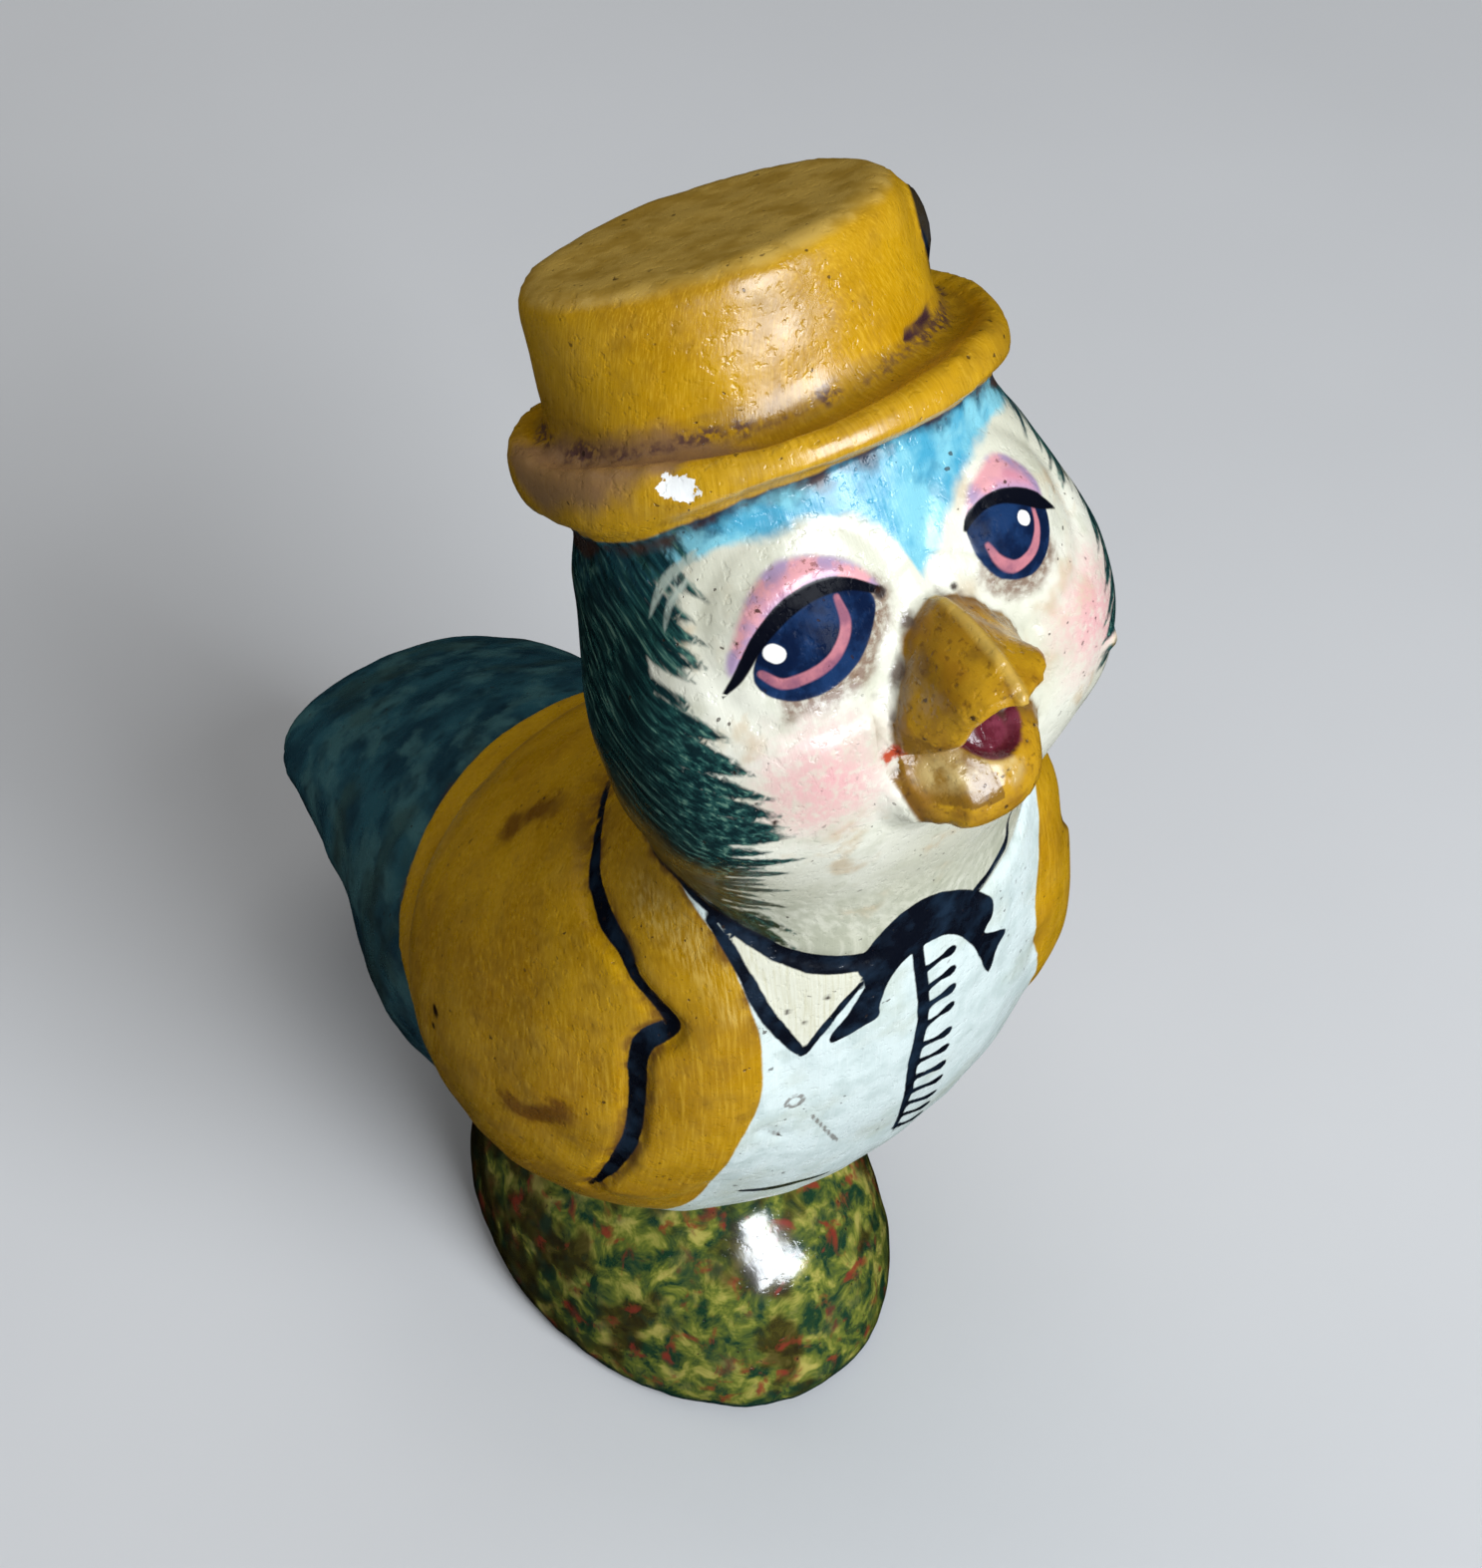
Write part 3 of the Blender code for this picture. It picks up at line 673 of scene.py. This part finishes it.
def paint_zones(surface):
    """Writes where each paint lies, as distances in mm that are positive inside the area."""
    x, y, z = surface.points.T
    chart, stretch = surface.chart, surface.stretch
    neck = surface.above_neckline() * 0.9
    surface.write("head", neck)
    surface.write("jacket", np.minimum(beyond(surface.side, z, SHIRT_EDGE) * stretch, -neck))
    surface.write("tail", surface.tail_beyond())
    surface.write("foot", np.where(y > FOOT_REAR, -9, FOOT_TOP - z))
    surface.write("foot_rear", y - 0.5 * x)
    surface.write("teal", feather_zone(surface))
    surface.write("sky", z - read_off(SKY_EDGE, surface.across))
    surface.write("temple", -np.minimum(*[to_stroke(chart, stretch, s) for s in TEMPLE_STROKES]))
    hat_zones(surface)
    eye_zones(surface)
    surface.write("beak", surface.beak())
    surface.write("mouth", surface.mouth())
    # Distance from the ridge line, along which a painted highlight runs
    surface.write("ridge", np.where(z > 134, np.abs(x - RIDGE_SIDE), 9))
    surface.write("cheek", np.minimum(*[surface.distance(c) for c in CHEEKS]))
    surface.write("ink", -ink_lines(surface))
    surface.write("collar", inside(chart, stretch, COLLAR))
    # Where the lapel's paint is worn pale and carries a painted highlight
    surface.write("worn_and_sheen", -to_stroke(chart, stretch, LAPEL_WEAR_AND_SHEEN))
    # Marks: the lip's orange lick, worn pale paint with a painted highlight on the lower lip, the chip and
    # the gouge
    for name, mark in (("lip", LIP_LICK), ("lip_wear_and_sheen", LIP_WEAR_AND_SHEEN), ("chip", CHIP), ("gouge", GOUGE)):
        surface.write(name, surface.inside_mark(mark))
    ring = RING_WIDTH - np.abs(surface.distance(RING[0]) - RING[1])
    cracks = np.maximum(surface.inside_mark(CRACK), surface.inside_mark(DENT))
    surface.write("crack", np.maximum(ring, cracks))
    surface.write("smudge", np.minimum(*[surface.to_segment(*ends) for ends in SMUDGES]))
    surface.write("spot", np.maximum.reduce([size - surface.distance(place) for place, size in SPOTS]))
    surface.write("hollow", hollows(surface))
    fall = (0.5 - 0.3 * smooth((z - 108) / 28)) * smooth((z - 98) / 6)
    surface.write("chart", np.column_stack((surface.across * stretch, z - fall * surface.side, x)))


def add(tree, kind, inputs=None, **settings):
    """Adds one node, sets it up, and links or sets its inputs. A text is an sRGB code."""
    node = tree.nodes.new(kind)
    for name, value in settings.items():
        setattr(node, name, value)
    for socket, value in (inputs or {}).items():
        if isinstance(value, bpy.types.NodeSocket):
            tree.links.new(value, node.inputs[socket])
        else:
            node.inputs[socket].default_value = linear(value) if isinstance(value, str) else value
    return node


class Paintbox:
    """Lays paints over each other in one node tree. Blots and strokes are sized in mm."""

    def __init__(self, tree):
        self.tree = tree
        self.place = add(tree, "ShaderNodeTexCoord").outputs["Object"]
        self.chart = add(tree, "ShaderNodeAttribute", attribute_name="chart_mm").outputs["Vector"]
        self.crumbs = self.blots(0.7, 4)
        self.mid = self.blots(3.0, 4)
        self.patch = self.blots(7.0, 3, shift=5)
        self.broad = self.blots(13.0, 3)
        self.wash = self.blots(5.0, 4, (1, 2.2, 1))
        self.streaks = self.blots(1.0, 4, (6, 1, 1), on_chart=True)
        self.hairs = self.blots(0.6, 3, (9, 1, 1), on_chart=True, roughness=0.6)
        self.brush = self.blots(0.35, 4, (1, 14, 1), on_chart=True, roughness=0.6)

    def blots(self, size, detail=3.0, stretch=(1, 1, 1), on_chart=False, roughness=0.55, shift=0.0, bend=0.0):
        """A pattern of blots size mm wide, drawn out by stretch."""
        units = 1.0 if on_chart else 1 / MM
        place = add(self.tree, "ShaderNodeMapping",
                    {"Vector": self.chart if on_chart else self.place,
                     "Scale": tuple(units / (size * s) for s in stretch),
                     "Location": (shift, shift * 1.7, shift * 0.6)})
        noise = add(self.tree, "ShaderNodeTexNoise",
                    {"Vector": place.outputs[0], "Scale": 1.0, "Detail": detail,
                     "Roughness": roughness, "Distortion": bend})
        return noise.outputs["Fac"]

    def total(self, *terms, start=0.0):
        """Adds up values, each with its factor."""
        whole = start
        for value, factor in terms:
            whole = add(self.tree, "ShaderNodeMath", {0: value, 1: factor, 2: whole},
                        operation="MULTIPLY_ADD").outputs[0]
        return whole

    def distance(self, name, waver=0.0, blots=None):
        """Distance in mm from a painted edge that wavers over a width of waver mm."""
        distance = add(self.tree, "ShaderNodeAttribute", attribute_name=name + "_mm").outputs["Fac"]
        if waver:
            distance = self.total((blots or self.mid, waver), (distance, 1), start=-waver / 2)
        return distance

    def zone(self, name, edge, wobble=0.0, blots=None):
        """The range across a painted area's edge, which wavers by wobble mm to each side."""
        return self.distance(name, 2 * wobble, blots), -edge, edge

    def share(self, *parts):
        """The product of shares and ranges, each (value, low, high) or with its shares at both."""
        whole = None
        for part in parts:
            if isinstance(part, tuple):
                value, low, high, at_low, at_high = part if len(part) == 5 else (*part, 0.0, 1.0)
                part = add(self.tree, "ShaderNodeMapRange",
                           {"Value": value, "From Min": low, "From Max": high,
                            "To Min": at_low, "To Max": at_high},
                           interpolation_type="SMOOTHSTEP").outputs[0]
            whole = part if whole is None else self.total((whole, part))
        return whole

    def lay(self, ground, *coats):
        """Lays coats over a ground in turn. Each is a paint and the parts of its share."""
        for paint, *parts in coats:
            ground = add(self.tree, "ShaderNodeMix", {0: self.share(*parts), 6: ground, 7: paint},
                         data_type="RGBA").outputs[2]
        return ground


def face_paint(box):
    """Warm white oil paint, yellowed in patches, with painted shade laid in streaks under the jaw."""
    # Painted shade: greyish olive in streaks on the throat, darkest just above the neckline
    under_jaw_shade = (box.distance("head"), 14, 3, 0, 0.62)
    blush = (box.distance("cheek", 5), CHEEK_REACH, CHEEK_CORE)
    return box.lay(
        "#E0DECD",
        ("#CFCDB8", (box.broad, 0.35, 0.65)),
        ("#BBBAA2", (box.mid, 0.48, 0.75, 0, 0.6)),
        ("#BE9E72", (box.patch, 0.55, 0.68, 0, 0.5), (box.mid, 0.4, 0.55)),
        ("#90937A", under_jaw_shade, (box.streaks, 0.36, 0.6, 0.45, 1)),
        ("#DB9EA0", blush, (box.crumbs, 0.3, 0.6, 0.3, 0.85)))


def sky_paint(box):
    """Sky-blue brushed on in strokes, dark navy where it meets the hat: dirt and painted shade under the
    brim.
    """
    return box.lay(
        "#459CBA",
        ("#7FC2D0", (box.wash, 0.4, 0.6)),
        ("#2E7C9A", (box.mid, 0.54, 0.66, 0, 0.5)),
        # Dirt and painted shade under the brim's edge
        ("#14263C", (box.distance("hat", 4.4), -1.7, 0.3)))


def feather_paint(box):
    """Dark teal laid on with a dry brush over a paler wash, olive low down and bluer on top."""
    height = box.distance("head")
    return box.lay(
        "#0C2629",
        ("#285852", (box.hairs, 0.4, 0.68)),
        ("#6A8C78", (box.hairs, 0.56, 0.7, 0, 0.7)),
        ("#3A3A16", (height, 16, 4, 0, 0.75), (box.streaks, 0.36, 0.6, 0.35, 1)),
        ("#2A6678", (height, 26, 38, 0, 0.65), (box.streaks, 0.35, 0.6)))


def mustard_paint(box):
    """Mustard oil paint, brushed up and down, rubbed pale in places and browned in others."""
    return box.lay(
        "#A97A00",
        ("#C4950E", (box.broad, 0.3, 0.7)),
        ("#D9AC2E", (box.brush, 0.46, 0.72, 0, 0.55)),
        ("#8A6000", (box.brush, 0.46, 0.28, 0, 0.4)),
        ("#7C5600", (box.mid, 0.52, 0.8, 0, 0.5)),
        ("#8F6A14", (box.patch, 0.5, 0.72, 0, 0.4)))


def shirt_paint(box):
    """Cold white shirt front with a beige collar, and brown in its cracks."""
    collar = box.lay("#DEDCC8", ("#CFCBB0", (box.brush, 0.4, 0.7)))
    return box.lay(
        "#D9E5E1",
        ("#C2D0CB", (box.mid, 0.4, 0.7)),
        ("#B6BCA8", (box.patch, 0.45, 0.7, 0, 0.5)),
        ("#EDF4F0", (box.brush, 0.52, 0.7, 0, 0.3)),
        (collar, box.zone("collar", 0.2, 0.2, box.blots(1.5))),
        ("#5E4C40", (*box.zone("crack", 0.1, 0.15, box.crumbs), 0, 0.7)))


def jacket_paint(box, mustard):
    """The mustard with brown smudges, worn pale paint with a painted highlight along the lapel, and brown
    bled from the ink lines.
    """
    smudge = (box.distance("smudge", 6), 2.4, 0.4, 0, 0.75)
    # Worn pale paint and a painted highlight along the lapel's crest
    worn_and_sheen = (box.distance("worn_and_sheen"), -1.2, 1.2, 0, 0.4)
    stained = (box.distance("ink"), -1.3, -0.1, 0, 0.75)
    return box.lay(
        mustard,
        ("#5E3416", smudge),
        ("#DDC070", worn_and_sheen, (box.brush, 0.4, 0.66)),
        ("#643C18", stained, (box.mid, 0.42, 0.62)))


def tail_paint(box):
    """Thin washes of blue-green over grey."""
    return box.lay(
        "#1E3E4A",
        ("#2E5A64", (box.patch, 0.35, 0.66)),
        ("#456E70", (box.wash, 0.48, 0.66, 0, 0.8)),
        ("#142A34", (box.mid, 0.52, 0.72, 0, 0.6)),
        ("#34463C", (box.broad, 0.52, 0.66, 0, 0.5)))


def eye_paint(box, colour):
    """Pink lids with lilac shade, navy iris with a pink crescent, black lash line, white glint."""
    smear_and_shade_share = (box.distance("smear_and_shade", 2), -0.8, 0.6, 0, 0.85)
    lilac = (box.distance("lid"), 1.8, 0.3, 0, 0.75)
    lid = box.lay(
        "#DE9FA3",
        ("#C98593", (box.mid, 0.38, 0.62)),
        ("#9C93B6", lilac, (box.mid, 0.4, 0.55)),
        ("#7C4A40", (box.crumbs, 0.61, 0.66, 0, 0.6)))
    iris = box.lay("#0C1934", ("#183157", (box.mid, 0.4, 0.62)))
    crescent = box.lay("#B8747C", ("#8A5668", (box.mid, 0.4, 0.6)))
    return box.lay(
        colour,
        # Brown dirt and painted shade below the eye
        ("#6E4B34", smear_and_shade_share, (box.crumbs, 0.3, 0.6, 0.4, 1)),
        (lid, box.zone("lid", 0.35, 0.5)),
        (iris, box.zone("iris", 0.1, 0.12)),
        (crescent, box.zone("crescent", 0.12, 0.2)),
        ("#090B14", box.zone("lash", 0.1, 0.1)),
        ("#F6F4EE", box.zone("glint", 0.08)))


def beak_paint(box):
    """Mustard with brown rubbed into it, a painted highlight along the ridge, worn pale paint with a painted
    highlight on the lower lip, and a wine-red mouth.
    """
    mouth = box.lay("#5A1A26", ("#7C3444", (box.mid, 0.4, 0.6)))
    return box.lay(
        "#B88A18",
        ("#96690E", (box.mid, 0.4, 0.65)),
        ("#5C3A12", (box.crumbs, 0.56, 0.66, 0, 0.5)),
        ("#5A3A1A", (box.distance("beak", 4), 2.2, 0.7, 0, 0.65)),
        # Worn pale paint and a painted highlight on the lower lip
        ("#DCC484", (box.distance("lip_wear_and_sheen"), -0.8, 1.1, 0, 0.65), (box.mid, 0.36, 0.56)),
        # Painted highlight along the upper half's ridge
        ("#D9B65A", (box.distance("ridge"), 0.9, 0.2, 0, 0.5)),
        (mouth, box.zone("mouth", 0.2, 0.35)))


def hat_paint(box, mustard, ink):
    """The jacket's mustard, duller on top, with dirt in the crease at the crown's foot."""
    top = box.lay("#C4A04C", ("#A88432", (box.mid, 0.4, 0.65)))
    crease = (box.distance("gutter", 4), 1.3, 0.3, 0, 0.85)
    return box.lay(
        mustard,
        (top, (box.distance("hat_down", 1), 1.2, 0.2)),
        ("#8A6850", (box.distance("dust", 2), -0.4, 1.4, 0, 0.8)),
        ("#4E343A", crease, (box.crumbs, 0.38, 0.56)),
        ("#3E2630", box.zone("gouge", 0.3, 0.5)),
        (ink, box.zone("bow", 0.15)))


def foot_paint(box):
    """Greens, yellow, red and brown dabbed on wet, browner behind, with a dark rim line."""
    dabs = box.blots(3.2, 4, roughness=0.62, shift=3, bend=0.5)
    warm = box.blots(3.4, 3, roughness=0.6, shift=9, bend=0.5)
    rear = box.share((box.distance("foot_rear"), -6, 18, 0, 0.14))
    brown = box.total((box.blots(6.5, 2, shift=14), 1), (rear, 1))
    return box.lay(
        "#1C3A26",
        ("#747C2C", (dabs, 0.36, 0.6)),
        ("#B0A454", (dabs, 0.5, 0.7)),
        ("#32220E", (brown, 0.5, 0.64, 0, 0.8)),
        ("#8A3226", (warm, 0.54, 0.68, 0, 0.85)),
        ("#16382E", (box.mid, 0.5, 0.7, 0, 0.6)),
        ("#0B3532", (box.distance("foot", 1), FOOT_TOP - 2.1, FOOT_TOP - 1.3)))


def aged(box, colour, specks, crease_dirt_and_shade):
    """Brown dirt and painted shade in the creases, rubbed edges, dark spots and specks."""
    painted = box.total((box.share(box.zone("ink", 0.8)), 1), (box.share(box.zone("foot", 1.5)), 1),
                        (box.share((box.distance("hat"), -1, 0, 0, 0.7)), 1))
    clean = (painted, 0, 1, 1, 0)
    hollow = box.distance("hollow", 0.16)
    off_tail = (box.distance("tail"), -1, -3)
    return box.lay(
        colour,
        ("#2A1810", box.zone("spot", 0.2, 0.4)),
        # Brown dirt and painted shade where the surface lies below its surroundings
        ("#4A3024", (hollow, 0.09, 0.2, 0, crease_dirt_and_shade), clean),
        ("#D8B458", (hollow, -0.16, -0.26, 0, 0.2), clean, off_tail),
        ("#33221A", specks, 0.75))


def surface_height(box, foot, specks):
    """Canvas-like brush grain and pits in the paint, calmer on the tail, lumpy on the foot."""
    pits = box.share((box.blots(0.8, 2, roughness=0.5, shift=19), 0.56, 0.72))
    canvas = box.blots(1.1, 2, roughness=0.5, shift=7)
    grain = box.total((canvas, 0.5), (box.brush, 0.22), (box.mid, 0.5), (pits, -0.45))
    calm = box.share((box.distance("tail"), -0.5, 1.5, 1, 0.4), (foot, 0, 1, 1, 0.4))
    lumps = box.total((foot, box.patch))
    return box.total((grain, calm), (lumps, 2.4), (specks, -0.7))


def painted_chalkware(settings):
    """Chalkware: plaster cast in a mould, painted by hand in oils, toned with brown and varnished."""
    material = bpy.data.materials.new("painted chalkware")
    material.use_nodes = True
    tree = material.node_tree
    tree.nodes.clear()
    box = Paintbox(tree)
    ink = box.lay("#0A0E18", ("#16283A", (box.mid, 0.42, 0.7)))
    mustard = mustard_paint(box)
    head = box.lay(
        face_paint(box),
        (sky_paint(box), box.zone("sky", 0.5, 0.9)),
        (feather_paint(box), box.zone("teal", 0.2, 0.3, box.hairs)),
        ("#B9C6B8", (*box.zone("temple", 0.2), 0, 0.8)))
    body = box.lay(
        shirt_paint(box),
        (jacket_paint(box, mustard), box.zone("jacket", 0.12, 0.25)),
        (head, box.zone("head", 0.15)),
        (tail_paint(box), box.zone("tail", 0.25, 0.8)),
        (ink, box.zone("ink", 0.1, 0.22)))
    colour = box.lay(
        eye_paint(box, body),
        (beak_paint(box), box.zone("beak", 0.25, 0.3)),
        ("#B04424", box.zone("lip", 0.3, 0.8, box.crumbs)),
        (hat_paint(box, mustard, ink), box.zone("hat", 0.2, 0.3)),
        (foot_paint(box), box.zone("foot", 0.4, 0.8)))
    specks = box.share((box.blots(0.7, 1.0, roughness=0.3), 0.74, 0.77), (box.patch, 0.42, 0.56))
    # The chip bares white plaster, which is rougher than the paint
    chip = box.share(box.zone("chip", 0.06, 0.9, box.blots(1.3, 3, roughness=0.7)))
    colour = box.lay(aged(box, colour, specks, settings.crease_dirt_and_shade), ("#F4F4F0", chip))
    # The lacquered foot is glossier, and the eyes' dark paint is matt
    foot = box.share(box.zone("foot", 0.6))
    dark = box.total((box.share(box.zone("iris", 0.5)), 1), (box.share(box.zone("lash", 0.5)), 1))
    paint_rough = box.share((box.mid, 0.3, 0.7, 0.22, 0.36), (foot, 0, 1, 1, 0.35))
    height = surface_height(box, foot, specks)
    bumps = add(tree, "ShaderNodeBump", {"Height": height, "Strength": 0.6, "Distance": 0.14 * MM})
    shader = add(tree, "ShaderNodeBsdfPrincipled",
                 {"Base Color": colour,
                  "Roughness": box.total((paint_rough, 1), (chip, 0.4)),
                  "Specular IOR Level": box.share((dark, 0, 1, 0.58, 0.03)),
                  "Coat Weight": box.share((foot, 0, 1, settings.varnish, 0.9), (dark, 0, 1, 1, 0.1)),
                  "Coat Roughness": 0.18,
                  "Normal": bumps.outputs[0]})
    add(tree, "ShaderNodeOutputMaterial", {"Surface": shader.outputs[0]})
    return material


def pale_floor():
    """Matt off-white board, very slightly uneven."""
    material = bpy.data.materials.new("pale board")
    material.use_nodes = True
    tree = material.node_tree
    place = add(tree, "ShaderNodeTexCoord").outputs["Object"]
    noise = add(tree, "ShaderNodeTexNoise", {"Vector": place, "Scale": 12.0, "Detail": 4.0})
    tone = add(tree, "ShaderNodeMapRange",
               {"Value": noise.outputs["Fac"], "To Min": FLOOR_TONES[0], "To Max": FLOOR_TONES[1]})
    shader = tree.nodes["Principled BSDF"]
    tree.links.new(tone.outputs[0], shader.inputs["Base Color"])
    shader.inputs["Roughness"].default_value = 0.75
    return material


class ChickSettings(bpy.types.PropertyGroup):
    """Sizes and finish of the figurine and its stage"""
    grain: bpy.props.FloatProperty(
        name="Grain", description="Side of the skin's faces before the fine areas are cut smaller",
        default=0.00104, min=0.0007, unit="LENGTH")
    softening: bpy.props.IntProperty(
        name="Softening", description="Rounds of smoothing of the cast", default=45, min=0)
    unevenness: bpy.props.FloatProperty(
        name="Unevenness", description="Height of the hand-made waves in the surface",
        default=0.00012, unit="LENGTH")
    brim_waver: bpy.props.FloatProperty(
        name="Brim waver", description="How far the brim's edge wavers", default=0.00035, unit="LENGTH")
    # Weight of the brown dirt and painted shade in the creases
    crease_dirt_and_shade: bpy.props.FloatProperty(
        name="Grime", description="Dirt in the creases", default=0.85, min=0, max=1, subtype="FACTOR")
    varnish: bpy.props.FloatProperty(
        name="Varnish", description="Weight of the clear coat", default=0.1, min=0, max=1, subtype="FACTOR")
    floor_side: bpy.props.FloatProperty(
        name="Floor side", description="Side of the square floor", default=6.0, unit="LENGTH")


class CHICK_OT_cast(bpy.types.Operator):
    """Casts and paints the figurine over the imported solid"""
    bl_idname = "chick.cast"
    bl_label = "Cast the chick"

    def execute(self, context):
        settings = context.scene.chick
        mesh = cast_mesh(settings.grain)
        surface = Surface(mesh)
        surface.soften(crisp_weight(surface), settings.softening)
        round_off(surface, settings.softening // 2)
        _, y, z = surface.points.T
        chest = (y < -20) & (z > 58) & (z < 152) & (surface.hat_place()[0] > 14)
        refine(mesh, chest)
        surface = Surface(mesh)
        surface.soften(np.full(len(surface.points), 0.35), 2)
        fine = surface.beak() > -1.4
        for eye in EYES:
            fine |= surface.distance(eye["centre"]) < EYE_FINE_REACH
        refine(mesh, fine)
        surface = Surface(mesh)
        surface.soften(np.full(len(surface.points), 0.25), 2)
        thin_brim(surface)
        trim_beak(surface)
        relief(surface, settings)
        paint_zones(surface)
        mesh.shade_smooth()
        mesh.materials.append(painted_chalkware(settings))
        piece = bpy.data.objects.new(PIECE, mesh)
        context.scene.collection.objects.link(piece)
        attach(piece, "root")
        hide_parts(NODE)
        return {"FINISHED"}


class CHICK_OT_stage(bpy.types.Operator):
    """Sets up the floor, the window-like lights and the camera"""
    bl_idname = "chick.stage"
    bl_label = "Set the stage"

    def execute(self, context):
        scene = context.scene
        half = scene.chick.floor_side / 2
        bm = bmesh.new()
        bmesh.ops.create_grid(bm, x_segments=1, y_segments=1, size=half)
        mesh = bpy.data.meshes.new("floor")
        bm.to_mesh(mesh)
        bm.free()
        mesh.materials.append(pale_floor())
        floor = bpy.data.objects.new("floor", mesh)
        floor.location.z = -FLOOR_GAP
        scene.collection.objects.link(floor)
        floor.visible_glossy = False
        scene.view_settings.view_transform = "Standard"
        world = bpy.data.worlds.new("room")
        scene.world = world
        world.use_nodes = True
        world.cycles_visibility.glossy = False
        glow = world.node_tree.nodes["Background"]
        glow.inputs["Color"].default_value = linear("#DDE3EC")
        glow.inputs["Strength"].default_value = ROOM_GLOW
        for name, place, size, power, tint in LIGHTS:
            light = bpy.data.lights.new(name, "AREA")
            light.shape = "RECTANGLE"
            light.size, light.size_y = size
            light.energy = power
            light.color = linear(tint)[:3]
            lamp = bpy.data.objects.new(name, light)
            lamp.location = place
            towards = Vector(LIGHT_TARGET) - Vector(place)
            lamp.rotation_euler = towards.to_track_quat("-Z", "Y").to_euler()
            lamp.visible_glossy = name == "window"
            scene.collection.objects.link(lamp)
        camera = bpy.data.cameras.new("camera")
        camera.sensor_width = 36
        camera.lens = CAMERA_LENS
        camera.clip_start = 0.01
        view = bpy.data.objects.new("camera", camera)
        azimuth = math.radians(CAMERA_TURN)
        elevation = math.atan2(*CAMERA_FALL)
        level = math.cos(elevation)
        back = Vector((math.sin(azimuth) * level, -math.cos(azimuth) * level, math.sin(elevation)))
        right = Vector((math.cos(azimuth), math.sin(azimuth), 0))
        turn = Matrix((right, back.cross(right), back)).transposed()
        view.matrix_world = Matrix.Translation(CAMERA_PLACE) @ turn.to_4x4()
        scene.collection.objects.link(view)
        scene.camera = view
        return {"FINISHED"}


class CHICK_PT_panel(bpy.types.Panel):
    """Settings and steps of the figurine"""
    bl_label = "Painted chalkware chick"
    bl_idname = "CHICK_PT_panel"
    bl_space_type = "VIEW_3D"
    bl_region_type = "UI"
    bl_category = "Figurine"

    def draw(self, context):
        settings = context.scene.chick
        for name in ("grain", "softening", "unevenness", "brim_waver", "crease_dirt_and_shade", "varnish", "floor_side"):
            self.layout.prop(settings, name)
        self.layout.operator("chick.cast")
        self.layout.operator("chick.stage")


CLASSES = (ChickSettings, CHICK_OT_cast, CHICK_OT_stage, CHICK_PT_panel)


def register():
    for item in CLASSES:
        bpy.utils.register_class(item)
    bpy.types.Scene.chick = bpy.props.PointerProperty(type=ChickSettings)


def unregister():
    del bpy.types.Scene.chick
    for item in reversed(CLASSES):
        bpy.utils.unregister_class(item)


def main():
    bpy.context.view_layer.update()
    register()
    bpy.ops.chick.cast()
    bpy.ops.chick.stage()


if __name__ == "__main__":
    main()
